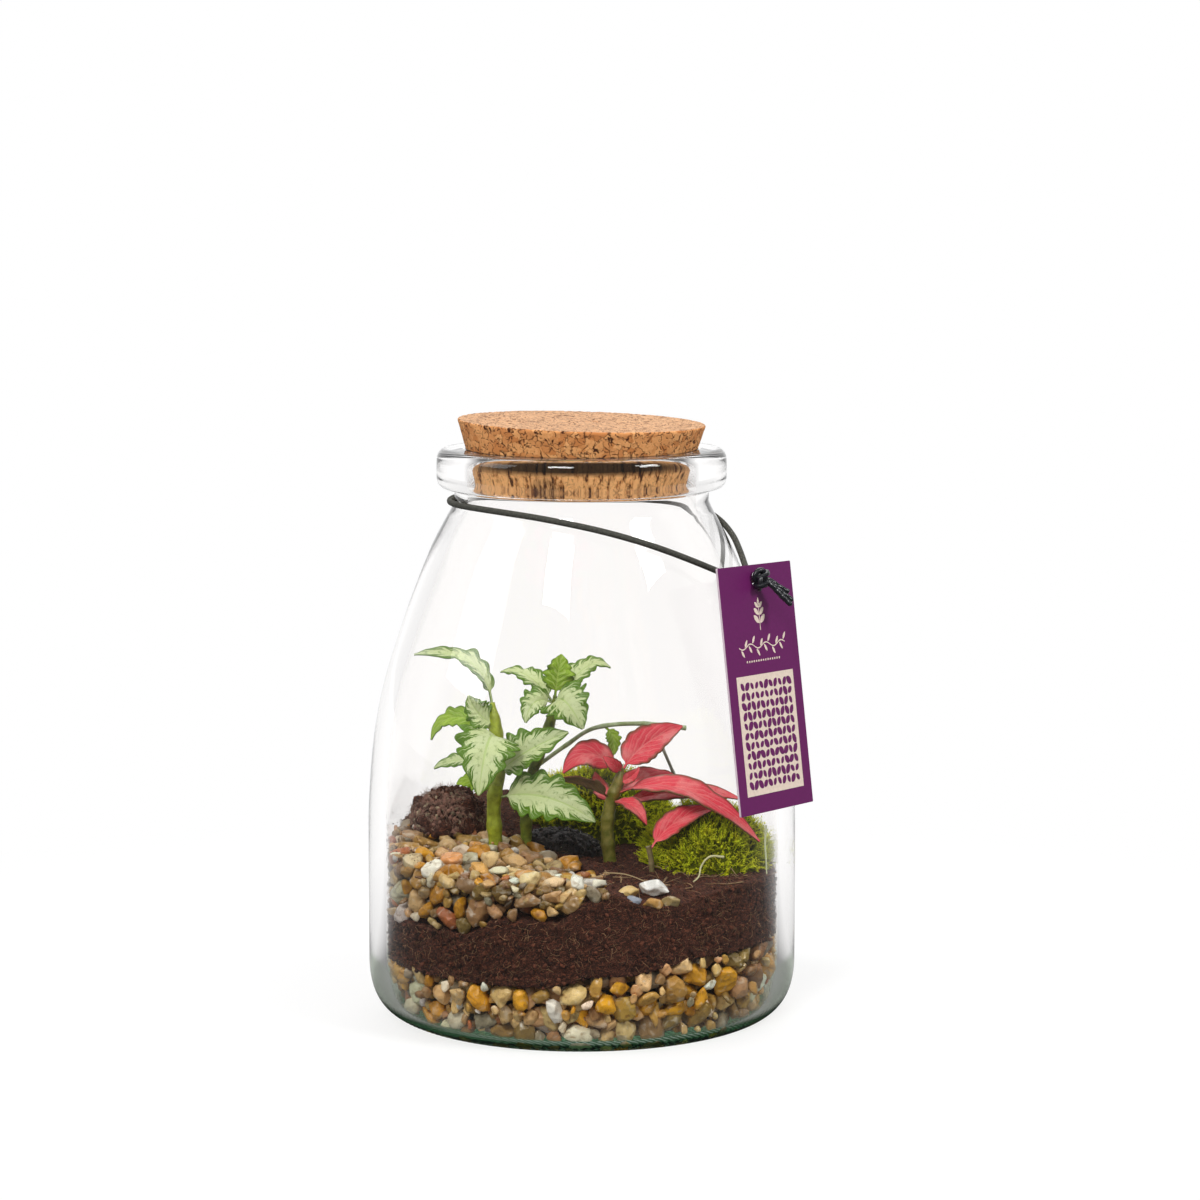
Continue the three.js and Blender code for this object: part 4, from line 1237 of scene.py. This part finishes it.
roots = [  # radius, colour, route
    (0.5, (0.86, 0.80, 0.46),
     [(51, -36, 66), (46, -38, 66.5), (43, -38, 63), (42, -40, 59.5), (40, -41, 57.8)]),
    (0.35, (0.85, 0.88, 0.52), [(65.9, -27, 76), (65.7, -27, 69), (66.0, -27, 63), (66.2, -27, 57)]),
    (0.30, (0.50, 0.36, 0.20), [(8, -40, 61), (16, -46, 61.5), (24, -50, 59), (27, -54, 57)]),
]


# Pale roots that lie on the soil and against the glass.
def makeRoots(material):
    bm = tinted()
    for radius, color, route in roots:
        points = [point * mm for point in smoothLine(route, 24)]
        sweep(bm, points, lambda share, angle: radius * mm * (1 - 0.5 * share), 6, color + (1.0,))
    addPiece("paleRoots", bm, "dark_soil", [material])


heaps = {
    "soil_mound": {"at": (-52, 19, 66), "half": (15.5, 18, 14.5), "rough": (0.24, 0.10), "bits": 2600,
                   "brown": (0.42, 0.215, 0.165), "pale": (0.66, 0.50, 0.34), "fibre": (0.50, 0.30, 0.22)},
    "root_plug": {"at": (-11, 11, 56.5), "half": (19, 12, 10.5), "rough": (0.10, 0.05), "bits": 520,
                  "paintedGlints": 16, "black": (0.004, 0.004, 0.005, 1),
                  "brown": (0.024, 0.014, 0.012, 1), "fibre": (0.10, 0.065, 0.05),
                  "crumb": (0.012, 0.010, 0.010, 0.6), "paintedGlint": (0.75, 0.72, 0.66, 1.0)},
    "moss_back": {"at": (5, 45, 54), "half": (37, 21, 32), "rough": (0.10, 0.04), "shoots": 2900},
    "moss_right": {"at": (48, 2, 54), "half": (27, 32, 26), "rough": (0.10, 0.04), "shoots": 3300},
}


# A point and an outward direction on a heap's dome, or None outside the jar or under the bed.
def heapSpot(draw, heap):
    way = randomWay(draw)
    way.z = abs(way.z)
    half = Vector(heap["half"])
    point = Vector(heap["at"]) + Vector(a * b for a, b in zip(way, half))
    if math.hypot(point.x, point.y) > bed["heapReach"] or point.z < groundTop(point.x, point.y) - 0.5:
        return None
    return point, Vector(a / b for a, b in zip(way, half)).normalized()


# The dome of a heap, roughened, kept inside the jar and sunk a little into the bed.
def heapBody(bm, heap, segments):
    bmesh.ops.create_uvsphere(bm, u_segments=segments, v_segments=segments // 2, radius=1)
    rough, fine = heap["rough"]
    offset = Vector(heap["at"])
    reach = bed["heapReach"] + 0.4
    for vert in bm.verts:
        way = vert.co.copy()
        scale = 1 + rough * noise.fractal(way * 2.4 + offset, 0.7, 2, 3) + fine * noise.noise(way * 14)
        point = offset + Vector(a * b for a, b in zip(way, heap["half"])) * scale
        far = math.hypot(point.x, point.y)
        if far > reach:
            point.xy *= reach / far
        point.z = max(point.z, groundTop(point.x, point.y) - 1.2)
        vert.co = point * mm


def makeMound(material):
    heap = heaps["soil_mound"]
    body = bmesh.new()
    heapBody(body, heap, 96)
    bm = tinted()
    addTinted(bm, body, shaded(soil["brown"], 1, 0.0))
    draw = random.Random(41)
    crumbs, fibres = crumbShapes(6, 17), fibreShapes(6, 19, 0.028)
    for i in range(heap["bits"]):
        spot = heapSpot(draw, heap)
        if spot is None:
            continue
        point, way = spot
        light = draw.uniform(0.3, 1.0)
        if i % 3:
            size = draw.uniform(0.3, 1.15)
            color = heap["pale"] if i % 5 == 1 else heap["brown"]
            strew(bm, draw, crumbs, point, size, shaded(color, light, 0.85))
        else:
            long = draw.uniform(2, 6.5)
            tip = Euler((0, draw.gauss(0, 0.9), draw.gauss(0, 0.9))).to_quaternion()
            color = shaded(heap["fibre"], light, 0.95)
            turn = way.to_track_quat("X", "Z") @ tip
            strew(bm, draw, fibres, point + way * 0.9, Vector((long, 5, 5)), color, turn)
    addPiece("soilMound", bm, "dark_soil", [material], "soil_mound")


def rootMaterial():
    heap = heaps["root_plug"]
    material, tree, shader = newMaterial("wetRoots", Specular_IOR_Level=0.3)
    grain = addGrain(tree, Scale=500.0, Detail=6.0, Low=0.4, High=0.7, Bump=0.9, Depth=0.0007)
    color = mixColor(tree, grain["Mask"], heap["black"], heap["brown"])
    tint = tintOf(tree)
    feed(tree, shader, Base_Color=mixColor(tree, tint["Alpha"], color, tint["Color"]),
         Roughness=ranged(tree, grain["Mask"], 0, 1, 0.25, 0.8), Normal=grain["Normal"])
    return material


def makeRootPlug():
    heap = heaps["root_plug"]
    body = bmesh.new()
    heapBody(body, heap, 96)
    bm = tinted()
    addTinted(bm, body, (0.01, 0.01, 0.01, 0.0))
    draw = random.Random(51)
    fibres, crumbs = fibreShapes(6, 23, 0.03), crumbShapes(5, 27)
    for i in range(heap["bits"]):
        spot = heapSpot(draw, heap)
        if spot is None:
            continue
        point, way = spot
        long = draw.uniform(3, 9)
        turn = way.to_track_quat("Z", "Y") @ lean(draw, 0.25)
        if i % 2:
            color = shaded(heap["fibre"], draw.uniform(0.15, 0.9), 0.9)
            strew(bm, draw, fibres, point, long, color, turn)
        else:
            strew(bm, draw, crumbs, point, draw.uniform(0.4, 1.3), heap["crumb"], turn)
    # pale specks painted on as glints of light on the wet roots
    for _ in range(heap["paintedGlints"]):  # wet specks that catch the light
        spot = heapSpot(draw, heap)
        if spot:
            stamp(bm, crumbs[0], placed(spot[0] + spot[1] * 0.3, randomTurn(draw), 0.22), heap["paintedGlint"])
    addPiece("rootPlug", bm, "wet_roots", [rootMaterial()], "root_plug")


moss = {
    "deep": (0.06, 0.070, 0.001, 1), "mid": (0.50, 0.52, 0.002, 1), "tip": (0.96, 0.95, 0.06, 1),
    "tone": (0.55, 1.35), "hue": (0.485, 0.515), "inset": 3.2,
}


def mossMaterial():
    material, tree, shader = newMaterial("moss", Roughness=0.75, Specular_IOR_Level=0.06)
    share, tone, hue = addNode(tree, "SeparateColor", {0: tintOf(tree)["Color"]}).outputs
    color = mixColor(tree, ranged(tree, share, 0, 0.5), moss["deep"], moss["mid"])
    color = mixColor(tree, ranged(tree, share, 0.45, 1), color, moss["tip"])
    shade = addNode(tree, "HueSaturation", {"Color": color, "Hue": ranged(tree, hue, 0, 1, *moss["hue"]),
                                            "Value": ranged(tree, tone, 0, 1, *moss["tone"])})
    feed(tree, shader, Base_Color=shade.outputs[0])
    return material


# A feathery shoot of unit length along +Z, with leaflets in pairs.
def shootShapes(count, seed):
    draw = random.Random(seed)
    shapes = []
    for _ in range(count):
        bm = tinted()
        layer = bm.verts.layers.float_color["tint"]
        sway = Vector((draw.uniform(-0.3, 0.3), draw.uniform(-0.3, 0.3), 0))

        def spine(t):
            return Vector((sway.x * t * t, sway.y * t * t, t * 0.95))

        def point(place, share):
            made = bm.verts.new(place)
            made[layer] = (min(1, share), 0, 0, 1)
            return made

        for i in range(6):
            t = 0.12 + 0.8 * i / 5
            base, long = spine(t), 0.30 * (1.1 - 0.75 * t)
            for side in (0, 1):
                angle = i * 1.9 + side * math.pi + draw.uniform(-0.3, 0.3)
                out = Vector((math.cos(angle), math.sin(angle), 0.75)).normalized()
                across = out.cross(Vector((0, 0, 1))).normalized() * 0.052
                bm.faces.new((point(base - across, t * 0.7),
                              point(base + out * long * 0.45 + across * 0.2, t * 0.85 + 0.05),
                              point(base + out * long, t + 0.25), point(base + across, t * 0.7)))
        rings = []
        for i in range(4):
            t = i / 3
            wide = 0.045 * (1 - 0.8 * t)
            rings.append([point(spine(t) + Vector((wide * math.cos(a), wide * math.sin(a), 0)), t * 0.8)
                          for a in (0, 2.09, 4.19)])
        for low, high in zip(rings, rings[1:]):
            for a, b in ((0, 1), (1, 2), (2, 0)):
                bm.faces.new((low[a], low[b], high[b], high[a]))
        shapes.append(shapeOf(bm))
    return shapes


def makeMoss(name, seed, material):
    heap = dict(heaps[name])
    heap["half"] = tuple(h - moss["inset"] for h in heap["half"])
    body = bmesh.new()
    heapBody(body, heap, 48)
    bm = tinted()
    addTinted(bm, body, (0.05, 0.3, 0.5, 1.0))
    draw = random.Random(seed)
    shapes = shootShapes(10, seed + 1)
    shares = []
    for shape in shapes:
        values = [0.0] * (4 * len(shape.vertices))
        shape.attributes["tint"].data.foreach_get("color", values)
        shares.append(values[0::4])
    made = 0
    while made < heap["shoots"]:
        spot = heapSpot(draw, heap)
        if spot is None:
            continue
        made += 1
        point, way = spot
        clump = 1 + 0.35 * noise.noise(point * 0.09) + 0.2 * noise.noise(point * 0.3)
        aim = way * 0.9 + Vector([draw.gauss(0, 0.42) for _ in range(3)]) + Vector((0, 0, 0.35))
        long = draw.uniform(3.4, 6.4) * clump
        spin = Euler((0, 0, draw.uniform(0, 6.28))).to_quaternion()
        turn = aim.normalized().to_track_quat("Z", "Y") @ spin
        which = draw.randrange(len(shapes))
        tone = 0.5 + 0.5 * noise.noise(point * 0.12 + Vector((9, 0, 0))) + draw.gauss(0, 0.16)
        tone = min(1, max(0, tone))
        hue = draw.uniform(0, 1)
        colors = [value for share in shares[which] for value in (share, tone, hue, 1.0)]
        stamp(bm, shapes[which], placed(point - way * 0.8, turn, long), colors)
    addPiece("moss" + titled(name[4:]) + "Shoots", bm, "green_moss", [material], name)


stemForm = {"sides": 18, "fleshy": 1.5, "hairs": 170, "hair": (0.5, 0.5, 0.5, 1.0)}
stems = [  # name, half-width, darker and lighter colour, route
    ("white_plant_stem_1", 2.9, (0.19, 0.22, 0.004), (0.40, 0.46, 0.035),
     [(-32, -6, 60), (-33, -6, 76), (-32.5, -6, 84), (-31, -5, 93), (-32, -4, 106), (-33.5, -3, 118)]),
    ("white_plant_stem_2", 2.3, (0.09, 0.12, 0.004), (0.25, 0.31, 0.03),
     [(-21, 4, 58), (-21, 4, 76), (-19, 3, 89), (-15, 2, 100), (-11, 1, 113), (-10, 1, 120)]),
    ("red_plant_stem", 2.7, (0.14, 0.14, 0.012), (0.32, 0.27, 0.06),
     [(11, -2, 54), (9.5, -2, 69), (11, -2, 80), (14, -2, 88), (15, -2, 93)]),
    ("red_plant_side_stem", 1, (0.17, 0.14, 0.05), (0.28, 0.2, 0.1),
     [(26, -22, 54), (25.5, -22, 62), (24.5, -22, 67)]),
    ("dried_stalk", 0.6, (0.27, 0.25, 0.20), (0.42, 0.38, 0.30),
     [(40, 20, 68), (38, 20, 80), (34, 20, 90), (31, 20, 97)]),
    ("white_plant_branch", 0.85, (0.26, 0.33, 0.13), (0.52, 0.58, 0.38),
     [(-18, 3, 92), (-6, 8, 100), (5, 12, 106), (22, 16, 107), (40, 18, 105)]),
]


def stemMaterial(name, low, high):
    material, tree, shader = newMaterial(name, Roughness=0.45, Specular_IOR_Level=0.45)
    grain = addGrain(tree, Scale=350.0, Detail=5.0, Low=0.35, High=0.68, Bump=0.35, Depth=0.0004)
    color = mixColor(tree, grain["Mask"], low + (1,), high + (1,))
    feed(tree, shader, Base_Color=color, Normal=grain["Normal"])
    return material


def makeStems():
    draw = random.Random(71)
    hairs = fibreShapes(4, 73, 0.03)
    for name, radius, low, high, route in stems:
        points = smoothLine(route, 14 * len(route))
        joints = [i / (len(route) - 1) for i in range(len(route))]
        fleshy = radius > stemForm["fleshy"]

        def thickness(share, angle):
            swell = sum(math.exp(-((share - joint) / 0.035) ** 2) for joint in joints[1:])
            taper = (1 - 0.22 * share) * (1 - 0.62 * ease(0.88, 1, share)) if fleshy else 1
            ridge = 0.05 * math.cos(4 * angle + 3 * share)
            return radius * mm * taper * (0.97 + 0.16 * swell + ridge)

        bm = tinted()
        sweep(bm, [p * mm for p in points], thickness, stemForm["sides"])
        for _ in range(stemForm["hairs"] if fleshy else 0):  # short soft hairs
            i = draw.randrange(2, len(points) - 2)
            way = (points[i + 1] - points[i]).normalized()
            out = way.cross(randomWay(draw)).normalized()
            long = draw.uniform(0.7, 1.5)
            spot = points[i] + out * (radius * 0.9 + long * 0.35)
            strew(bm, draw, hairs, spot, long, stemForm["hair"], out.to_track_quat("X", "Z"))
        slot = "dry_stalk" if name == "dried_stalk" else "green_stem"
        addPiece(titled(name), bm, slot, [stemMaterial(name, low, high)], name)


# base, middle and tip of the midrib, widest half, where the face looks, fold
whiteLeaves = [
    ("top_left", (-33.5, -3, 116.5), (-35, -4, 140), (-62, -8, 137), 5.5, (0.2, -0.5, 1), 20),
    ("upper", (-32.4, -4, 110), (-39, -8, 113), (-42, -9, 121.5), 5.6, (-0.3, -1, 0.9), 12),
    ("front", (-32, -4, 105.5), (-35, -18, 112), (-38, -21, 86), 11.2, (0, -1, 0.45), 10),
    ("left_small", (-32, -4, 107), (-52, 2, 119), (-57, 3, 103), 4, (-0.6, -0.7, 0.6), 15),
    ("left_dark", (-31, -5, 93), (-44, 2, 99), (-56, 3, 92), 5, (-0.2, -0.6, 1), 18),
    ("left_low", (-32.5, -6, 84), (-40, -3, 91), (-47, -3, 87), 4, (-0.2, -0.8, 0.6), 14),
    ("middle", (-31.2, -5.3, 91), (-24, -12, 101), (-5, -10, 108), 8.6, (-0.45, -0.8, 0.5), 28),
    ("low_front", (-32.6, -6, 82), (-14, -18, 90), (5, -21, 76), 9.2, (0, -1, 0.5), 12),
    ("hanging", (-10.6, 1, 117), (-19, -6, 123), (-21, -7, 111), 5.4, (-0.3, -1, 0.3), 14),
    ("back", (-10.4, 1, 116.5), (-19, 11, 130), (-31, 16, 127), 5, (0, -0.35, 1), 16),
    ("upright", (-10, 0.6, 119.5), (-9, -1, 129), (-7.5, 1, 135.5), 6.0, (0.3, -1, -0.2), 18),
    ("back_right", (-10.3, 1, 115), (1, 11, 136), (11, 12, 129), 4.6, (0.2, -0.45, 1), 20),
    ("right", (-10.2, 1, 118), (-7, -10, 124), (0.5, -12, 109.5), 9.2, (0.1, -1, 0.45), 12),
    ("branch", (9, 12.9, 106.1), (14, 10, 103), (11, 9, 95), 2.8, (0.2, -1, 0.2), 16),
]
redLeaves = [
    ("upper_left", (14.6, -2, 90), (2, -6, 107), (-7, -8, 92), 5.6, (-0.3, -1, 0.5), 14),
    ("upper_right", (15, -2, 91.5), (21, 2, 103), (38, 4, 108), 7, (-0.3, -1, 0.35), 14),
    ("left_folded", (11.2, -2, 81), (1, -9, 90), (-11, -7, 89), 5, (0, 0.45, 1), 24),
    ("lower", (11, -2, 80), (19, -13, 84), (24, -16, 74), 4, (0.3, -0.7, 0.9), 18),
    ("large", (12, -2, 82.5), (38, -14, 98), (64, -27, 70), 7, (0.35, -0.55, 1), 14),
    ("under", (24.8, -22, 65), (33, -17, 79), (50, -10, 79), 5, (-0.1, -0.7, 0.7), 20),
    ("back", (11.4, -2, 82), (24, 9, 91), (39, 11, 85), 6, (-0.1, -0.6, 1), 16),
    ("far_right", (10.8, -2, 78), (39, -3, 89), (60, -2, 81), 4.5, (0, -0.7, 1), 14),
    ("pale", (11, -2, 79.5), (6, 4, 84), (5, 6, 90), 3.2, (0, -1, 0.1), 12),
    ("young_left", (15, -2, 91.5), (12.5, -9, 95), (8, -8, 98.5), 2.6, (-0.3, -1, 0.4), 20),
    ("young_right", (14.2, -2, 87.6), (18.5, -8, 90), (21.5, -7, 94), 2.4, (0.4, -1, 0.5), 20),
]
greenLeaves = ("left_small", "left_low", "upright", "branch")
blade = {
    "stalkShare": 0.14, "stalkHalf": 0.45, "thickness": 0.45, "long": 56, "wide": 28, "wave": 0.95,
    "wobbleScale": 260.0, "cloudScale": 130.0, "fleckScale": 620.0,
    "seed": {"white": 100, "red": 150}, "crinkle": {"white": 1.0, "red": 0.45},
    "quilt": {"white": 0.36, "red": 0.17}, "teeth": {"white": 0.16, "red": 0.045},
}
leafLooks = {
    "white": {"veins": 8.0, "slant": 1.9, "margin": 0.86, "bands": (0.20, 0.84, 1.10, 0.04), "cloud": 0.2,
              "pale": (0.55, 0.61, 0.31, 1), "green": (0.080, 0.170, 0.006, 1), "rib": (0.44, 0.55, 0.20, 1),
              "edge": (0.095, 0.195, 0.006, 1), "haze": (0.72, 0.77, 0.54, 1), "hazeLow": 0.0,
              "under": (0.30, 0.40, 0.12, 1), "underVein": (0.46, 0.55, 0.26, 1)},
    "green": {"veins": 6.0, "slant": 1.9, "margin": 0.82, "bands": (0.0, 0.9, 0.55, 0.02), "cloud": 0.5,
              "pale": (0.34, 0.46, 0.09, 1), "green": (0.20, 0.33, 0.015, 1), "rib": (0.40, 0.52, 0.10, 1),
              "edge": (0.10, 0.18, 0.015, 1), "haze": (0.36, 0.50, 0.03, 1), "hazeLow": 1.0,
              "under": (0.24, 0.34, 0.04, 1), "underVein": (0.36, 0.46, 0.12, 1)},
    "red": {"veins": 7.0, "slant": 3.0, "margin": 0.74, "bands": (0.05, 0.95, 0.18, 0.04), "cloud": 0.8,
            "pale": (0.92, 0.20, 0.21, 1), "green": (0.84, 0.052, 0.084, 1), "rib": (0.90, 0.20, 0.21, 1),
            "edge": (0.065, 0.065, 0.012, 1), "haze": (0.95, 0.27, 0.27, 1), "hazeLow": 1.0,
            "under": (0.20, 0.14, 0.045, 1), "underVein": (0.44, 0.20, 0.13, 1)},
}


# Share of a leaf's widest half-width along its midrib.
def bladeWidth(t):
    along = max(0, (t - blade["stalkShare"]) / (1 - blade["stalkShare"]))
    return max(0, math.sin(math.pi * along ** 0.68)) ** 0.75


# Bands along the slanted side veins, and finer ones between them.
def veinMask(tree, look, along, across, shift):
    line = compute(tree, "MULTIPLY", along, look["veins"])
    line = compute(tree, "SUBTRACT", line, compute(tree, "MULTIPLY", across, look["slant"]))
    line = compute(tree, "ADD", line, shift)
    main = compute(tree, "MULTIPLY", compute(tree, "PINGPONG", line, 0.5), 2.0)
    fine = compute(tree, "PINGPONG", compute(tree, "MULTIPLY_ADD", line, 3.0, 0.5), 0.5)
    fine = compute(tree, "MULTIPLY", fine, 2.0)
    width = ranged(tree, across, *look["bands"])
    vein = ranged(tree, compute(tree, "SUBTRACT", width, main), -0.05, 0.05)
    narrow = compute(tree, "MULTIPLY", width, 0.75)
    fork = ranged(tree, compute(tree, "SUBTRACT", narrow, fine), -0.15, 0.15)
    return compute(tree, "MAXIMUM", vein, compute(tree, "MULTIPLY", fork, 0.8))


def leafMaterial(kind, under):
    look = leafLooks[kind]
    material, tree, shader = newMaterial(kind + ("LeafUnder" if under else "Leaf"), Roughness=0.45,
                                         Specular_IOR_Level=0.2)
    place = ownPlace(tree)
    flat = addNode(tree, "SeparateXYZ", {0: addNode(tree, "UVMap", uv_map="UVMap").outputs[0]}).outputs
    across = compute(tree, "ABSOLUTE", compute(tree, "MULTIPLY_ADD", flat["Y"], 2.0, -1.0))
    shift = compute(tree, "MULTIPLY_ADD", noiseOf(tree, place, blade["wobbleScale"], 4.0), 0.9, -0.45)
    vein = veinMask(tree, look, flat["X"], across, shift)
    mottle = addGrain(tree, Scale=900.0, Low=0.3, High=0.75, Bump=0.25, Depth=0.0002)
    if under:
        color = mixColor(tree, compute(tree, "MULTIPLY", vein, 0.5), look["under"], look["underVein"])
    else:
        edge = compute(tree, "ADD", across, compute(tree, "MULTIPLY", shift, 0.25))
        margin = ranged(tree, edge, look["margin"], 0.97)
        vein = compute(tree, "MULTIPLY", vein, ranged(tree, margin, 1, 0))
        color = mixColor(tree, vein, look["green"], look["pale"])
        # pale clouds: the leaves' own mottling, and on the red leaves partly a painted fleshy highlight
        clouds = noiseOf(tree, place, blade["cloudScale"], 4.0)
        clouds = ranged(tree, clouds, 0.46, 0.62, 0, look["cloud"])
        haze = compute(tree, "ADD", clouds, compute(tree, "MULTIPLY", mottle["Mask"], 0.06))
        haze = compute(tree, "MULTIPLY", haze, ranged(tree, vein, 0, 1, look["hazeLow"], 1))
        color = mixColor(tree, haze, color, look["haze"])
        color = mixColor(tree, compute(tree, "MULTIPLY", margin, 0.9), color, look["edge"])
        color = mixColor(tree, ranged(tree, across, 0.06, 0.02, 0, 0.8), color, look["rib"])
        flecks = noiseOf(tree, place, blade["fleckScale"], 3.0)
        color = mixColor(tree, ranged(tree, flecks, 0.58, 0.68, 0, 0.45), color, look["green"])
    feed(tree, shader, Base_Color=color, Normal=mottle["Normal"])
    return material


# A point of the midrib, and the way it runs there.
def ribAt(base, via, tip, t):
    return base.lerp(via, t).lerp(via.lerp(tip, t), t), (via - base).lerp(tip - via, t).normalized()


# A crinkled blade on a narrow stalk, bent along its midrib and folded up along the middle.
def makeLeaf(kind, number, leaf, materials):
    name, start, corner, end, widest, face, fold = leaf
    b = blade
    draw = random.Random(b["seed"][kind] + number)
    teethPhase, hemPhase, finePhase = [draw.uniform(0, 6.28) for _ in range(3)]
    crinkle = b["wave"] * min(1, widest / 7) * b["crinkle"][kind]
    veins, slant = leafLooks[kind]["veins"], leafLooks[kind]["slant"]
    rib = Vector(start), Vector(corner), Vector(end)
    look = Vector(face).normalized()
    bm = bmesh.new()
    bm.loops.layers.uv.new("UVMap")
    grid = bmesh.ops.create_grid(bm, x_segments=b["long"], y_segments=b["wide"], size=0.5, calc_uvs=True)
    for vert in grid["verts"]:
        t, across = vert.co.x + 0.5, vert.co.y * 2
        point, along = ribAt(*rib, t)
        side = look.cross(along).normalized()
        broad = bladeWidth(t)
        reach = abs(across)
        teeth = 2 * abs(math.sin(t * 21 + teethPhase + across * 0.6)) - 1.2
        half = max(b["stalkHalf"], widest * broad * (1 + b["teeth"][kind] * teeth * broad))
        bow = math.radians(fold) * (1.25 - 0.5 * reach)
        hem = math.sin(t * 17 + hemPhase * (1 if across > 0 else 2))
        hem += 0.6 * math.sin(t * 31 + finePhase + across)
        rows = abs(math.sin(math.pi * (t * veins - reach * slant))) - 0.5
        lift = crinkle * reach ** 2.2 * hem
        lift += b["quilt"][kind] * rows * min(1, reach * 4) * (1 - reach ** 4)
        lift -= 0.25 * math.exp(-(reach / 0.06) ** 2)
        lift = lift * broad + reach * half * math.sin(bow)
        point += side * (math.copysign(reach, across) * half * math.cos(bow)) + along.cross(side) * lift
        vert.co = point * mm
    bmesh.ops.recalc_face_normals(bm, faces=bm.faces)
    bm.faces.ensure_lookup_table()
    middle = bm.faces[len(bm.faces) // 2]
    along = ribAt(*rib, 0.5)[1]
    if middle.normal.dot(along.cross(look.cross(along))) < 0:
        bmesh.ops.reverse_faces(bm, faces=bm.faces)
    piece = addPiece(kind + "Leaf" + titled(name), bm, kind + "_veined_leaf", materials,
                     f"{kind}_leaf_{name}")
    wall = piece.modifiers.new("thickness", "SOLIDIFY")
    wall.thickness = b["thickness"] * mm
    wall.offset = -1
    wall.material_offset = 1
    wall.material_offset_rim = 0


def makeLeaves():
    looks = {kind: [leafMaterial(kind, False), leafMaterial(kind, True)] for kind in leafLooks}
    for kind, leaves in (("white", whiteLeaves), ("red", redLeaves)):
        for number, leaf in enumerate(leaves):
            green = kind == "white" and leaf[0] in greenLeaves
            makeLeaf(kind, number, leaf, looks["green" if green else kind])


scene = bpy.context.scene
scene.view_settings.view_transform = "Standard"
scene.cycles.max_bounces = 24
scene.cycles.transmission_bounces = 20
scene.cycles.transparent_max_bounces = 24
scene.cycles.glossy_bounces = 8
scene.cycles.caustics_refractive = False
scene.cycles.caustics_reflective = False
scene.cycles.sample_clamp_indirect = 6

makeCamera()
grainGroup()
makeTag()
makeCord(makeKnot())
print("tag and cord made")
makeWorld()
makeFloor()
makeLamps()
makeJar()
makeCork()
print("jar and cork made")
pebbles = pebbleShapes(stones["shapes"], 3)
gravel = stoneMaterial("gravelStone")
makeDrainage(pebbles, gravel)
makeUpperGravel(pebbles, gravel)
print("gravel made")
coir = soilMaterial()
makeSoil(coir)
makeRoots(coir)
makeMound(coir)
makeRootPlug()
makeLooseStones()
print("soil made")
mossGreen = mossMaterial()
makeMoss("moss_right", 81, mossGreen)
makeMoss("moss_back", 91, mossGreen)
print("moss made")
makeStems()
makeLeaves()
print("plants made")
